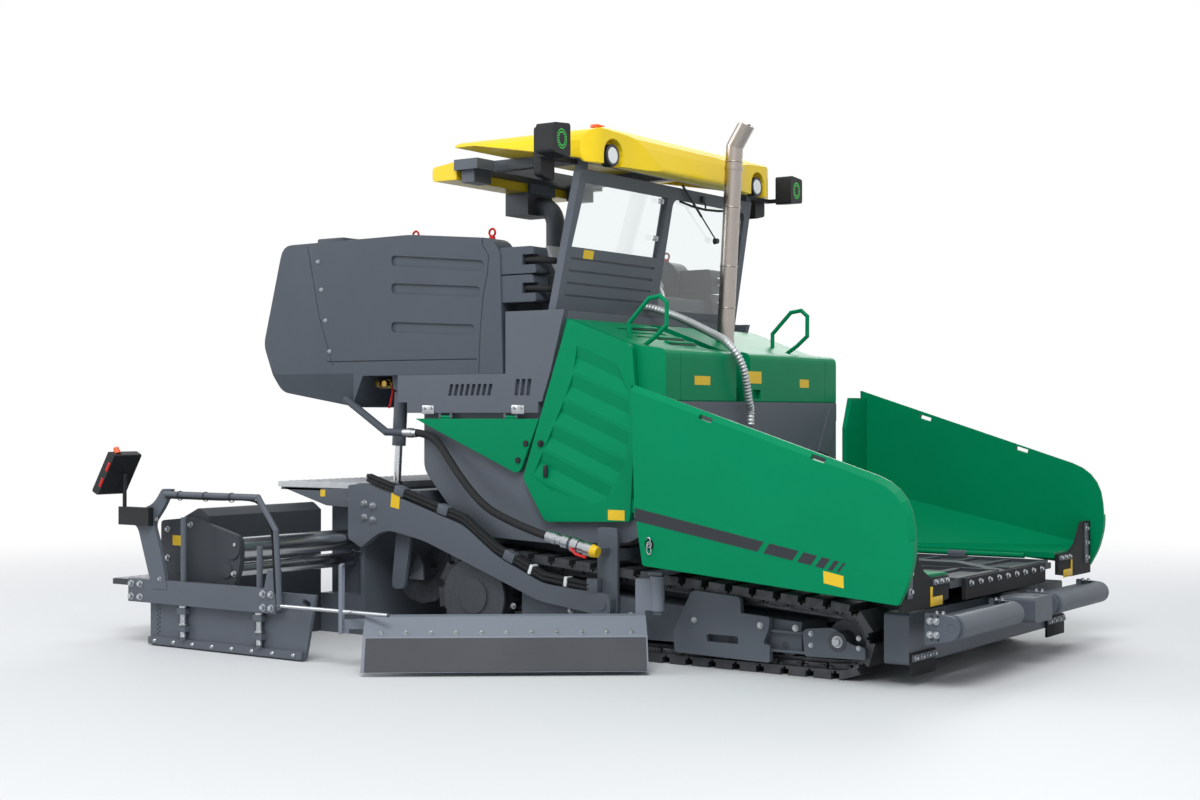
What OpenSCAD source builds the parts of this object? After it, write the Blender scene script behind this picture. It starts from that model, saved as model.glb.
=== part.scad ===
// Tracked asphalt paver with a spray module, an extending screed and folding hopper wings.
// Lengths along X are measured from the hopper's rear edge and shifted by middle_x.
// Left-hand pieces are drawn with +Y outboard; right-hand pieces are their mirror image.

/* [Overall] */
// Hopper's rear edge ahead of the part's middle
middle_x = 970; // [900:5:1030]
// Width over the tractor's side panels
body_w = 2500; // [2440:10:2540]
// Running clearance between flat moving pieces
gap = 12; // [8:1:20]
// Radial clearance of pins and axles in their bores
pin_fit = 0.05; // [0.02:0.01:0.1]

/* [Tracks] */
// Width of a track shoe
shoe_w = 305; // [280:5:320]
// Shoes on one track
shoe_count = 41; // [36:1:46]
// Thickness of a shoe's steel plate
shoe_plate_t = 14; // [10:1:20]
// Height of the rubber pad on a shoe
pad_t = 40; // [30:1:45]
// Height of the chain inside the shoes
chain_t = 58; // [50:1:64]
// Width of the chain
chain_w = 150; // [120:5:170]
// Outer radius of the track round the drive wheel
drive_r = 345; // [330:1:350]
// Outer radius of the track round the idler
idler_r = 235; // [220:1:245]
// Drive axle behind the hopper's rear edge
drive_back = 1540; // [1500:5:1560]
// Idler axle ahead of the hopper's rear edge
idler_ahead = 1260; // [1220:5:1270]
// Radius of a track roller
roller_r = 68; // [60:1:72]
// Rollers under each track frame
roller_count = 6; // [5:1:7]

/* [Chassis] */
// Half distance between the chassis walls, to their outer faces
wall_y = 905; // [890:1:915]
// Thickness of the chassis walls
wall_t = 50; // [40:1:60]
// Height of the chassis walls' lower edge
wall_low_z = 300; // [280:5:320]
// Top of the chassis walls behind the hopper
deck_z = 1690; // [1670:5:1710]
// Rear end of the chassis behind the hopper's rear edge
chassis_back = 2060; // [2040:5:2080]
// Depth of the front cross beam
beam_d = 160; // [140:5:165]
// Rear face of the front cross beam ahead of the hopper's rear edge
beam_ahead = 1565; // [1550:5:1570]
// Lower edge of the front cross beam
beam_low_z = 128; // [110:2:140]
// Upper edge of the front cross beam
beam_top_z = 433; // [425:1:440]
// Half width of the front cross beam
beam_half = 1280; // [1250:5:1290]

/* [Conveyor] */
// Top of the conveyor deck
conveyor_z = 590; // [580:1:596]
// Pitch of the conveyor slats
slat_pitch = 250; // [200:10:300]
// Height of the tunnel roof over the conveyor
tunnel_z = 950; // [900:10:980]

/* [Hopper] */
// Width over the open hopper wings
hopper_w = 3265; // [3220:5:3280]
// Height of the hopper's rear corner
hopper_rear_z = 1790; // [1760:5:1810]
// Height of the hopper's front corner
hopper_front_z = 1206; // [1190:2:1220]
// Length of a hopper wing
hopper_len = 1924; // [1900:2:1930]
// Thickness of a wing's wall
wing_t = 42; // [30:1:50]
// Hinge line of a wing, out from the middle
wing_hinge_y = 880; // [870:1:890]
// Height of a wing's hinge line
wing_hinge_z = 625; // [622:1:630]
// Radius of a wing's hinge tube
wing_hinge_r = 18; // [14:1:20]

/* [Push bar] */
// Axis of the push rollers ahead of the hopper's rear edge
push_x = 1997; // [1990:1:2004]
// Height of the push rollers' axis
push_z = 368; // [362:1:372]
// Radius of a push roller
push_r = 72; // [64:1:76]
// Outboard end of a push roller
push_out = 1262; // [1240:2:1270]
// Inboard end of a push roller
push_in = 330; // [310:2:350]
// Radius of the push rollers' axle
push_axle_r = 25; // [20:1:30]
// Radius of the hitch pin bore in the push bar's middle block
hitch_bore_r = 22; // [18:1:26]

/* [Hood and side panels] */
// Top of the hood at its rear
hood_rear_z = 2250; // [2230:5:2265]
// Top of the hood at its front
hood_front_z = 2032; // [2010:2:2050]
// Thickness of the side doors
door_t = 36; // [30:1:42]
// Thickness of the side flaps
flap_t = 24; // [20:1:28]
// Number of ribs pressed into a side door
door_ribs = 6; // [4:1:6]

/* [Tank and operator's stand] */
// Top of the emulsion tank's housing
tank_top_z = 2890; // [2860:5:2900]
// Floor of the operator's stand
floor_z = 1884; // [1870:2:1900]
// Inner half width of the operator's stand
bay_half = 1060; // [1020:5:1080]
// Rear wall of the operator's stand behind the hopper's rear edge
bay_back = 2240; // [2200:5:2260]

/* [Windscreen and roof] */
// Height of the windscreen's foot
screen_low_z = 2310; // [2300:1:2320]
// Height of the windscreen's top
screen_top_z = 3262; // [3240:2:3268]
// Forward lean of the windscreen from foot to top
screen_lean = 180; // [160:2:200]
// Thickness of the windscreen's frame
screen_t = 60; // [50:1:70]
// Thickness of the glass
glass_t = 8; // [6:1:10]
// Top of the roof
roof_top_z = 3612; // [3600:2:3630]
// Half width of the roof
roof_half = 1255; // [1230:5:1280]
// Radius of the exhaust pipe
exhaust_r = 62; // [54:1:68]

/* [Screed] */
// Width of the basic screed
screed_w = 2550; // [2540:2:2560]
// Tow point behind the hopper's rear edge
tow_back = 420; // [410:2:430]
// Height of the tow point
tow_z = 352; // [346:1:358]
// Thickness of a tow arm
arm_t = 60; // [50:1:64]
// Radius of the tow pin
tow_pin_r = 32; // [28:1:36]
// Travel of each screed extension
extend_travel = 1200; // [1150:5:1205]
// Half width over the extensions' end gates when drawn out
gate_half = 2520; // [2515:1:2525]
// Thickness of an end gate
gate_t = 24; // [18:1:28]
// Radius of the upper extension tube
tube_r = 74; // [68:1:78]
// Radius of the lower extension tube
low_tube_r = 52; // [46:1:56]
// Clearance of the extension tubes in their guides
tube_fit = 0.6; // [0.4:0.1:1.0]

/* [Auger] */
// Outer radius of the auger's flights
auger_r = 200; // [180:2:205]
// Radius of the auger's shaft
auger_shaft_r = 50; // [40:1:56]
// Pitch of the auger's flights
auger_pitch = 320; // [280:5:360]

/* [Spray bar] */
// Angle at which a spray bar stands out
spray_angle = 36.87; // [35:0.01:38]
// Height of a spray bar's cover
spray_top_z = 335; // [320:1:340]
// Radius of a spray bar's hinge pin
spray_pin_r = 22; // [18:1:26]

/* [Lift cylinders] */
// Radius of a lift cylinder's barrel
barrel_r = 50; // [44:1:54]
// Radius of a lift cylinder's rod
rod_r = 28; // [24:1:32]

/* [Hidden] */
$fn = 48;
half = body_w / 2;
track_out = half;
track_in = half - shoe_w;
track_mid = half - shoe_w / 2;
shoe_t = shoe_plate_t + pad_t;
loop_in = shoe_t + chain_t;
drive_x = -drive_back;
idler_x = idler_ahead;
beam_x0 = beam_ahead;
beam_x1 = beam_ahead + beam_d;
chassis_x0 = -chassis_back;
hopper_half = hopper_w / 2;
screed_half = screed_w / 2;
tow_x = -tow_back;
arm_in = screed_half + gap;
arm_out = arm_in + arm_t;
seat_fit = 0.3;
graphite = "#555B63";
dark = "#33373C";
green = "#008C5F";
yellow = "#F2D42E";
rubber = "#1C1D1F";
steel = "#B9BDC2";

// Shifts a shape drawn from the hopper's rear edge into the part's frame
module machine() {
    translate([middle_x, 0, 0]) children();
}

// Leaves a left-hand shape as drawn, or mirrors it to the right
module hand(side) {
    if (side == "left") children();
    else mirror([0, 1, 0]) children();
}

module both_hands() {
    hand("left") children();
    hand("right") children();
}

// Extrudes an outline of (x, z) points from y0 to y1
module side_slab(points, y0, y1) {
    translate([0, y1, 0]) rotate([90, 0, 0]) linear_extrude(y1 - y0) polygon(points);
}

// Extrudes an outline of (y, z) points from x0 to x1
module cross_slab(points, x0, x1) {
    translate([x0, 0, 0]) rotate([90, 0, 90]) linear_extrude(x1 - x0) polygon(points);
}

// Block between two corners
module block(low, high) {
    translate(low) cube(high - low);
}

// Cylinder along Y between y0 and y1
module pin_y(x, z, r, y0, y1) {
    translate([x, y1, z]) rotate([90, 0, 0]) cylinder(r = r, h = y1 - y0);
}

// Cylinder along X from x
module rod_x(x, y, z, r, len) {
    translate([x, y, z]) rotate([0, 90, 0]) cylinder(r = r, h = len);
}

// Round bar through points, with a ball at each bend
module bent_bar(points, r) {
    for (i = [0 : len(points) - 2]) {
        run = points[i + 1] - points[i];
        translate(points[i]) rotate([0, acos(run[2] / norm(run)), atan2(run[1], run[0])])
            cylinder(r = r, h = norm(run));
        if (i > 0) translate(points[i]) sphere(r = 1.04 * r);
    }
}

function unit(v) = v / norm(v);

// Point at share t of the smooth curve's span i through points
function spline(points, i, t) = let (
    a = points[max(i - 1, 0)], b = points[i], c = points[i + 1], d = points[min(i + 2, len(points) - 1)]
) (2 * b + (c - a) * t + (2 * a - 5 * b + 4 * c - d) * t * t + (3 * b - a - 3 * c + d) * t * t * t) / 2;

// Smooth curve through points
function curve(points, steps) = [
    for (i = [0 : len(points) - 2], s = [0 : steps - 1]) spline(points, i, s / steps),
    points[len(points) - 1]
];

// Round hose along a curve that never runs along Y
module hose(points, r, sides) {
    count = len(points);
    function ring(i) = let (
        along = unit(points[min(i + 1, count - 1)] - points[max(i - 1, 0)]),
        out = unit(cross(along, [0, 1, 0])),
        over = cross(along, out)
    ) [for (k = [0 : sides - 1]) points[i] + r * (out * cos(360 * k / sides) + over * sin(360 * k / sides))];
    polyhedron(
        points = [for (i = [0 : count - 1]) each ring(i)],
        faces = [
            [for (k = [0 : sides - 1]) k],
            for (i = [0 : count - 2], k = [0 : sides - 1])
            let (a = i * sides + k, b = i * sides + (k + 1) % sides)
            each [[a, a + sides, b + sides], [a, b + sides, b]],
            [for (k = [sides - 1 : -1 : 0]) (count - 1) * sides + k]
        ]
    );
}

// Outline with its corners rounded; radii holds one radius for each corner
function rounded(points, radii, steps = 4) = [
    for (i = [0 : len(points) - 1])
    let (
        count = len(points),
        corner = points[i],
        to_last = unit(points[(i + count - 1) % count] - corner),
        to_next = unit(points[(i + 1) % count] - corner),
        reach = is_list(radii) ? radii[i] : radii
    )
    each reach == 0 ? [corner] : [
        for (s = [0 : steps])
        let (t = s / steps)
        corner + to_last * reach * (1 - t) * (1 - t) + to_next * reach * t * t
    ]
];

// Twice the signed area of an outline
function turn_sum(points, i = 0) = i == len(points) ? 0 :
    let (a = points[i], b = points[(i + 1) % len(points)]) a[0] * b[1] - b[0] * a[1] + turn_sum(points, i + 1);

// Outline drawn in by a wall's thickness
function inset(points, wall) = let (count = len(points), way = sign(turn_sum(points))) [
    for (i = [0 : count - 1])
    let (
        before = unit(points[i] - points[(i + count - 1) % count]),
        after = unit(points[(i + 1) % count] - points[i]),
        n0 = way * [-before[1], before[0]],
        n1 = way * [-after[1], after[0]]
    )
    points[i] + (n0 + n1) * wall / (1 + n0 * n1)
];

// Track loop: arc lengths on the line at depth pitch_in below the pads
loop_run = idler_x - drive_x;
loop_tilt = 2 * asin((drive_r - idler_r) / norm([loop_run, drive_r - idler_r]));
pitch_in = shoe_t;
idler_arc = (180 - loop_tilt) * PI / 180 * (idler_r - pitch_in);
drive_arc = (180 + loop_tilt) * PI / 180 * (drive_r - pitch_in);
loop_len = 2 * loop_run + idler_arc + drive_arc;
shoe_pitch = loop_len / shoe_count;

function on_circle(x, r, depth, angle) = [x + (r - depth) * cos(angle), r + (r - depth) * sin(angle)];

// Point of the loop at arc length s, at a depth below the outside of the pads
function loop_point(s, depth) =
    s < loop_run ? [drive_x + s, depth]
    : s < loop_run + idler_arc
        ? on_circle(idler_x, idler_r, depth, -90 + (180 - loop_tilt) * (s - loop_run) / idler_arc)
    : s < 2 * loop_run + idler_arc
        ? let (t = (s - loop_run - idler_arc) / loop_run)
          on_circle(idler_x, idler_r, depth, 90 - loop_tilt) * (1 - t)
          + on_circle(drive_x, drive_r, depth, 90 - loop_tilt) * t
    : on_circle(drive_x, drive_r, depth,
          90 - loop_tilt + (180 + loop_tilt) * (s - 2 * loop_run - idler_arc) / drive_arc);

// Flats that the chain makes round each wheel
idler_flats = 12;
drive_flats = 16;

// Smooth closed outline of the loop at one depth
function loop_outline(depth) = [
    for (i = [0 : idler_flats])
        on_circle(idler_x, idler_r, depth, -90 + (180 - loop_tilt) * i / idler_flats),
    for (i = [0 : drive_flats])
        on_circle(drive_x, drive_r, depth, 90 - loop_tilt + (180 + loop_tilt) * i / drive_flats)
];

// Outline of the shoes: plates with a narrow gap between them, each with a shorter pad
shoe_gap = 0.05;
pad_edge = 0.16;
shoe_outline = [
    for (i = [0 : shoe_count - 1])
    each [
        for (step = [
            [0, shoe_t], [shoe_gap, shoe_t], [shoe_gap, pad_t], [pad_edge, pad_t],
            [pad_edge, 0], [1 - pad_edge, 0], [1 - pad_edge, pad_t], [1 - shoe_gap, pad_t],
            [1 - shoe_gap, shoe_t]
        ])
        loop_point((i + step[0]) * shoe_pitch, step[1])
    ]
];

module track(side) {
    machine() hand(side) color(rubber) {
        translate([0, track_out, 0]) rotate([90, 0, 0]) linear_extrude(shoe_w) difference() {
            polygon(shoe_outline);
            polygon(loop_outline(shoe_t + 6));
        }
        translate([0, track_mid + chain_w / 2, 0]) rotate([90, 0, 0]) linear_extrude(chain_w) difference() {
            polygon(loop_outline(shoe_t + 3));
            polygon(loop_outline(loop_in));
        }
    }
}

frame_x0 = drive_x + drive_r + 40;
frame_x1 = idler_x - idler_r - 30;
roller_z = loop_in + roller_r + seat_fit;
frame_low_z = roller_z + roller_r + gap;
frame_plate_t = 30;
cover_in = track_out + gap;
cover_out = cover_in + 40;
guard_r = 265;
yoke_t = 20;
idler_axle_r = 60;

// Beam between the wheels, its roller cheeks, the stepped outer cover and the drive guard
module track_frame(side) {
    machine() hand(side) color(graphite) {
        difference() {
            union() {
                side_slab([
                    [frame_x0, frame_low_z], [frame_x1, frame_low_z], [frame_x1, frame_low_z + 70],
                    [frame_x0, frame_low_z + 190]
                ], wall_y, track_out - 12);
                for (y = [track_in + 20, track_out - 12 - frame_plate_t])
                    side_slab([
                        [frame_x0, loop_in + 30], [frame_x1, loop_in + 30], [frame_x1, frame_low_z + 1],
                        [frame_x0, frame_low_z + 1]
                    ], y, y + frame_plate_t);
                side_slab([
                    [190, frame_low_z], [720, frame_low_z], [720, frame_low_z + 60], [190, frame_low_z + 80]
                ], track_out - 13, cover_in + 1);
            }
            for (i = [0 : roller_count - 1])
                pin_y(roller_x(i), roller_z, 25 + pin_fit, track_in, track_out);
        }
        difference() {
            side_slab(rounded([
                [117, 88], [807, 74], [807, 182], [760, 190], [800, 285], [807, 356], [602, 368], [595, 467],
                [244, 490], [102, 214]
            ], [20, 20, 8, 20, 20, 15, 10, 25, 30, 30]), cover_in, cover_out);
            side_slab(rounded([[354, 172], [583, 172], [583, 220], [354, 220]], 14), cover_in - 1, cover_out + 1);
        }
        difference() {
            side_slab(rounded([
                [1039, 131], [1442, 139], [1442, 212], [1340, 225], [1243, 320], [1020, 296]
            ], [20, 10, 20, 40, 40, 40]), cover_in, cover_in + yoke_t);
            pin_y(idler_x, idler_r, idler_axle_r + seat_fit, cover_in - 1, cover_in + yoke_t + 1);
        }
        for (z = [150, 270]) rod_x(806, cover_in + yoke_t / 2, z, yoke_t / 2, 240);
    }
}

function roller_x(i) = frame_x0 + 110 + (frame_x1 - frame_x0 - 220) * i / (roller_count - 1);

drive_wheel_r = (drive_r - loop_in) * cos((180 + loop_tilt) / drive_flats / 2) - seat_fit;
idler_wheel_r = (idler_r - loop_in) * cos((180 - loop_tilt) / idler_flats / 2) - seat_fit;
sprocket_teeth = 21;

// Toothed outline of a drive wheel
function sprocket_outline() = [
    for (i = [0 : sprocket_teeth - 1])
    each [
        for (step = [[0, -16], [0.3, -16], [0.42, 0], [0.88, 0]])
        let (a = 360 * (i + step[0]) / sprocket_teeth, r = drive_wheel_r + step[1])
        [r * cos(a), r * sin(a)]
    ]
];

// Drive wheels, idlers and rollers of both tracks
module track_wheels() {
    machine() both_hands() color(dark) {
        translate([drive_x, track_mid + 45, drive_r]) rotate([90, 0, 0]) linear_extrude(90)
            polygon(sprocket_outline());
        pin_y(drive_x, drive_r, 150, wall_y, cover_in);
        pin_y(drive_x, drive_r, guard_r, cover_in, cover_in + 22);
        pin_y(drive_x, drive_r, 120, cover_in + 21, cover_in + 36);
        pin_y(idler_x, idler_r, idler_wheel_r, track_mid - 60, track_mid + 60);
        pin_y(idler_x, idler_r, idler_axle_r, wall_y, cover_in + yoke_t + 4);
        for (i = [0 : roller_count - 1]) {
            pin_y(roller_x(i), roller_z, roller_r, track_in + 60, track_out - 52);
            pin_y(roller_x(i), roller_z, 25, track_in + 21, track_out - 13);
        }
    }
}

tunnel_half = wall_y - wall_t;
fork_t = 36;
fork_low_z = 250;
wing_tube_len = 420;
wing_tube_x = [60, 620, 1180];
knuckle_len = wing_tube_x[1] - wing_tube_x[0] - wing_tube_len - 2 * seat_fit;
knuckle_x = [for (i = [0, 1]) wing_tube_x[i] + wing_tube_len + seat_fit];

// Two walls, the tunnel's floor and roof, the front cross beam and its fork
module chassis_frame() {
    machine() color(graphite) difference() {
        union() {
            both_hands() side_slab([
                [chassis_x0, wall_low_z], [beam_x0, wall_low_z], [beam_x0, conveyor_z - 30],
                [0, conveyor_z], [-40, conveyor_z], [-40, deck_z], [chassis_x0, deck_z]
            ], tunnel_half, wall_y);
            block([chassis_x0, -tunnel_half - 1, wall_low_z], [beam_x0 + 1, tunnel_half + 1, wall_low_z + 40]);
            block([chassis_x0, -tunnel_half - 1, tunnel_z], [-40, tunnel_half + 1, tunnel_z + 40]);
            block([chassis_x0, -tunnel_half - 1, tunnel_z], [chassis_x0 + 40, tunnel_half + 1, deck_z]);
            cross_slab(rounded([
                [-beam_half, beam_low_z], [beam_half, beam_low_z], [beam_half, beam_top_z], [-beam_half, beam_top_z]
            ], 24), beam_x0, beam_x1);
            for (z = [fork_low_z, beam_top_z - fork_t])
                block([beam_x1 - 1, -110, z], [push_pivot_x + push_pin_r + 12, 110, z + fork_t]);
            both_hands() for (x = knuckle_x) {
                translate([x, wing_hinge_y, wing_hinge_z]) rotate([0, 90, 0])
                    cylinder(r = wing_hinge_r, h = knuckle_len);
                block([x, tunnel_half, conveyor_z - 40], [x + knuckle_len, wing_hinge_y + 8, wing_hinge_z]);
            }
        }
        translate([push_pivot_x, 0, 0]) cylinder(r = push_pin_r + pin_fit, h = beam_top_z + 200);
    }
}

// Engine and cooler as one plain mass over the tunnel
module engine_block() {
    machine() color(dark) {
        block([-1500, -520, tunnel_z + 40], [-120, 520, deck_z - 40]);
    }
}

// Twin slat conveyors with their chains, and the ridge between them
module conveyors() {
    machine() color(dark) both_hands() {
        block([chassis_x0, 60, conveyor_z - 40], [1800, tunnel_half, conveyor_z]);
        for (x = [chassis_x0 + 60 : slat_pitch : 1760])
            block([x, 110, conveyor_z - 1], [x + 50, tunnel_half - 90, conveyor_z + 16]);
        for (y = [80, tunnel_half - 90])
            block([chassis_x0, y, conveyor_z - 1], [1800, y + 30, conveyor_z + 22]);
        side_slab([
            [chassis_x0, conveyor_z - 40], [1800, conveyor_z - 40], [1800, conveyor_z + 6],
            [1500, conveyor_z + 50], [chassis_x0, conveyor_z + 50]
        ], 0, 61);
    }
}

// Fold line where a wing's floor meets its wall
fold_rear_z = 1037;
fold_front_z = 668;
wing_x0 = 20;
wing_x1 = 1800;
wing_floor_t = 40;
wing_low_y = wing_hinge_y + wing_hinge_r + gap / 2;
wing_hinge_low = wing_hinge_z - 10;

function wing_outline() = rounded([
    [0, hopper_rear_z], [25, fold_rear_z], [70, 657], [1815, 517], [1880, 640],
    [hopper_len, 811], [hopper_len - 28, hopper_front_z - 20]
], [10, 60, 20, 10, 60, 80, 220], 5);

// Ruled floor slab from the hinge line out to the fold line
module wing_floor() {
    y0 = wing_low_y;
    y1 = hopper_half - wing_t;
    x0 = wing_x0;
    x1 = wing_x1;
    low = wing_hinge_z + 30;
    polyhedron(
        points = [
            [x0, y0, low], [x1, y0, low], [x1, y1, fold_front_z], [x0, y1, fold_rear_z],
            [x0, y0, low - wing_floor_t], [x1, y0, low - wing_floor_t],
            [x1, y1, fold_front_z - wing_floor_t], [x0, y1, fold_rear_z - wing_floor_t]
        ],
        faces = [
            [0, 2, 1], [0, 3, 2], [4, 5, 6], [4, 6, 7], [0, 1, 5, 4], [1, 2, 6, 5],
            [2, 3, 7, 6], [3, 0, 4, 7]
        ]
    );
}

rim_h = 34;
rim_in = 24;
rim_slot_x = [545, 1310];
fold_angle = atan2(fold_rear_z - fold_front_z, 1800);
fold_lean = 4;

// Cuts a slanted rim along one edge of a wing's outer face
module rim_cut(from, to) {
    run = to - from;
    translate([from[0], hopper_half, from[1]]) rotate([0, -atan2(run[1], run[0]), 0])
        translate([-4, 0, -rim_h]) rotate([atan(rim_in / rim_h), 0, 0]) cube([norm(run) + 8, 60, 120]);
}

// Outer wall with its slanted rim, its lower fold, the rim's slots and the wire clip's hole
module wing_wall() {
    edge = wing_outline();
    count = len(edge);
    rim_angle = atan2(hopper_rear_z - hopper_front_z, hopper_len);
    difference() {
        side_slab(edge, hopper_half - wing_t, hopper_half);
        for (i = [count - 7 : count - 1]) rim_cut(edge[(i + 1) % count], edge[i]);
        translate([0, hopper_half, fold_rear_z]) rotate([0, fold_angle, 0]) rotate([-fold_lean, 0, 0])
            translate([-200, 0, -700]) cube([2400, 100, 700]);
        for (x = rim_slot_x)
            translate([x, hopper_half, hopper_rear_z - x * tan(rim_angle) - 48]) rotate([0, rim_angle, 0])
                cube([96, 3 * wing_t, 28], center = true);
        pin_y(128, 791, 34, hopper_half - wing_t - 1, hopper_half + 1);
    }
}

// Rubber flap across the front of a wing
module hopper_flap(side) {
    machine() hand(side) color(rubber) cross_slab([
        [930, 500], [1180, 470], [hopper_half - wing_t, 470], [hopper_half - wing_t, 840], [1420, 840], [1290, 690],
        [1180, 640], [930, 640]
    ], wing_x1, wing_x1 + 22);
}

// Outer wall, the floor, the rear gusset and the hinge tube
module hopper(side) {
    machine() hand(side) color(green) {
        wing_wall();
        wing_floor();
        cross_slab([
            [hopper_half - wing_t + 1, hopper_rear_z - 60], [hopper_half - wing_t + 1, fold_rear_z - 30],
            [1240, fold_rear_z - 190], [1240, 1500], [1330, hopper_rear_z - 60]
        ], wing_x0, wing_x0 + 36);
        for (x = wing_tube_x) {
            translate([x, wing_hinge_y, wing_hinge_z]) rotate([0, 90, 0])
                cylinder(r = wing_hinge_r, h = wing_tube_len);
            block([x, wing_hinge_y, wing_hinge_low], [x + wing_tube_len, wing_low_y + 6, wing_hinge_low + 26]);
        }
    }
}

// Front sheet of the conveyor deck with its rubber apron
module hopper_apron() {
    machine() color(rubber) {
        block([1800, -680, 470], [1826, 680, 600]);
    }
}

push_pivot_x = beam_x1 + 55;
push_pin_r = 24;
bar_x0 = beam_x1 + 105;
bar_x1 = push_x - push_r - 8;
bracket_t = 28;

// Beam with a pivot block in the middle and a bracket at each end of a roller
module push_bar() {
    machine() color(graphite) difference() {
        union() {
            block([bar_x0, -push_out - 5, push_z - 75], [bar_x1, push_out + 5, push_z + 45]);
            cross_slab(rounded([[-150, push_z - 80], [150, push_z - 80], [150, push_z + 80], [-150, push_z + 80]], 30),
                bar_x0 + 1, push_x + 70);
            block([push_pivot_x - 40, -90, fork_low_z + fork_t + gap], [bar_x0 + 2, 90, beam_top_z - fork_t - gap]);
            translate([push_pivot_x, 0, fork_low_z]) cylinder(r = push_pin_r, h = beam_top_z - fork_low_z);
            both_hands() for (y = [push_in - bracket_t - 4, push_out + 4])
                side_slab(rounded([
                    [bar_x0, push_z - 110], [push_x + 20, push_z - 70], [push_x + 60, push_z],
                    [push_x + 20, push_z + 66], [bar_x0, push_z + 80]
                ], [10, 36, 36, 36, 10]), y, y + bracket_t);
        }
        both_hands() pin_y(push_x, push_z, push_axle_r + pin_fit, push_in - bracket_t - 5, push_out + bracket_t + 5);
        translate([push_x + 20, 0, push_z - 100]) cylinder(r = hitch_bore_r, h = 240);
    }
}

// Steel roller with chamfered ends on its axle
module push_roller(side) {
    machine() hand(side) color(graphite)
        translate([push_x, push_out, push_z]) rotate([90, 0, 0]) rotate_extrude() polygon([
            [0, -bracket_t - 2], [push_axle_r, -bracket_t - 2], [push_axle_r, 0], [push_r - 8, 0], [push_r, 10],
            [push_r, push_out - push_in - 10], [push_r - 8, push_out - push_in],
            [push_axle_r, push_out - push_in], [push_axle_r, push_out - push_in + bracket_t + 2],
            [0, push_out - push_in + bracket_t + 2]
        ]);
}

socket_x = 42;
socket_y = -200;
socket_z = 1530;

// Grey wall behind the hopper with the conveyor's mouth and the hose's socket
module bulkhead() {
    machine() color(graphite) difference() {
        union() {
            block([-40, -1200, 660], [front_x, 1200, deck_z]);
            block([front_x - 1, socket_y - 45, socket_z - 70], [socket_x + 45, socket_y + 45, socket_z]);
            both_hands() cross_slab([[905, 1330], [1070, 1300], [1195, 1560], [1195, deck_z], [1105, deck_z]],
                front_x - 1, front_x + 6);
        }
        block([-50, -tunnel_half, 600], [5, tunnel_half, tunnel_z]);
    }
}

hood_half = half - door_t - gap;
front_x = -gap;
cowl_x = -864;
hood_split = -110;
hood_outline = rounded([
    [cowl_x, deck_z], [front_x, deck_z], [front_x, hood_front_z], [-246, hood_front_z + 26],
    [-761, hood_rear_z], [cowl_x, hood_rear_z]
], [0, 10, 50, 60, 60, 10]);

hood_recess = 190;
handle_r = 15;
handle_path = [[-394, 2080], [-394, 2214], [-236, 2372], [-149, 2384], [-97, 2340], [-98, 2190], [-184, 2118], [-290, 2050]];
seam_w = 6;

// Looped green handle that stands on the hood at y
module hood_handle(y) {
    bent_bar([for (p = handle_path) [p[0], y, p[1]]], handle_r);
}

// Right half of the hood with its louvres
module hood_right() {
    machine() color(green) {
        difference() {
            side_slab(hood_outline, -hood_half, hood_split - hood_recess);
            for (i = [0 : 4])
                translate([-640 + i * 90, -900, 2120]) rotate([0, 20, 0]) cube([26, 500, 200]);
            block([front_x - 5, -1024, deck_z - 1], [front_x + 1, -1024 + seam_w, hood_rear_z]);
        }
        hood_handle(-1060);
    }
}

// Left half of the hood, bored for the exhaust
module hood_left() {
    machine() color(green) {
        difference() {
            side_slab(hood_outline, hood_split, hood_half);
            on_exhaust() cylinder(r = exhaust_r + seat_fit, h = exhaust_len);
            block([front_x - 5, 1018, deck_z - 1], [front_x + 1, 1018 + seam_w, hood_rear_z]);
            block([front_x - 30, -70, 1712], [front_x + 1, 40, 1775]);
        }
        hood_handle(900);
    }
}

housing_wall = 30;
housing_outline = [
    [chassis_x0, deck_z], [chassis_x0, 1210], [-1650, 760], [-960, 730], [-300, 760], [-40, 900], [-40, deck_z]
];

// Grey lower body between the chassis wall and the doors
module side_housing(side) {
    machine() hand(side) color(dark) {
        difference() {
            side_slab(rounded(housing_outline, [0, 60, 60, 40, 40, 40, 0]), wall_y, hood_half);
            side_slab(inset(housing_outline, housing_wall), wall_y - 1, hood_half - housing_wall);
        }
        block([-940, hood_half - 1, 980], [-320, half - door_t - seat_fit, 1600]);
        block([-1900, hood_half - 1, 1480], [-1200, half - flap_t - seat_fit, 1550]);
        for (z = door_hinge_z) {
            block([door_hinge_x - door_pin_r, hood_half - 1, z - 30],
                [door_hinge_x + door_pin_r + 4, door_hinge_y + door_pin_r + 2, z - seat_fit]);
            translate([door_hinge_x, door_hinge_y, z - 30]) cylinder(r = door_pin_r, h = door_knuckle_h + 30);
        }
    }
}

door_hinge_x = -228;
door_hinge_y = half - door_t / 2;
door_hinge_z = [960, 1190];
door_knuckle_h = 90;
door_knuckle_r = 16;
door_pin_r = 8;
door_outline = rounded([
    [-761, 2244], [-246, 2054], [-214, 1697], [-262, 901], [-952, 877], [-1140, 1170]
], [20, 40, 40, 30, 40, 40]);

// Field of sawtooth ribs pressed into a door
rib_field = [
    [-1056, 1180], [-900, 1090], [-560, 1010], [-450, 1040], [-300, 1280], [-265, 1500], [-275, 1760],
    [-420, 2030], [-680, 2100], [-715, 1880], [-790, 1700]
];
rib_from = [-900, 1134];
rib_pitch = 206;
rib_slope = 22;
rib_h = rib_pitch * cos(rib_slope);
rib_depth = 16;

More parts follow.
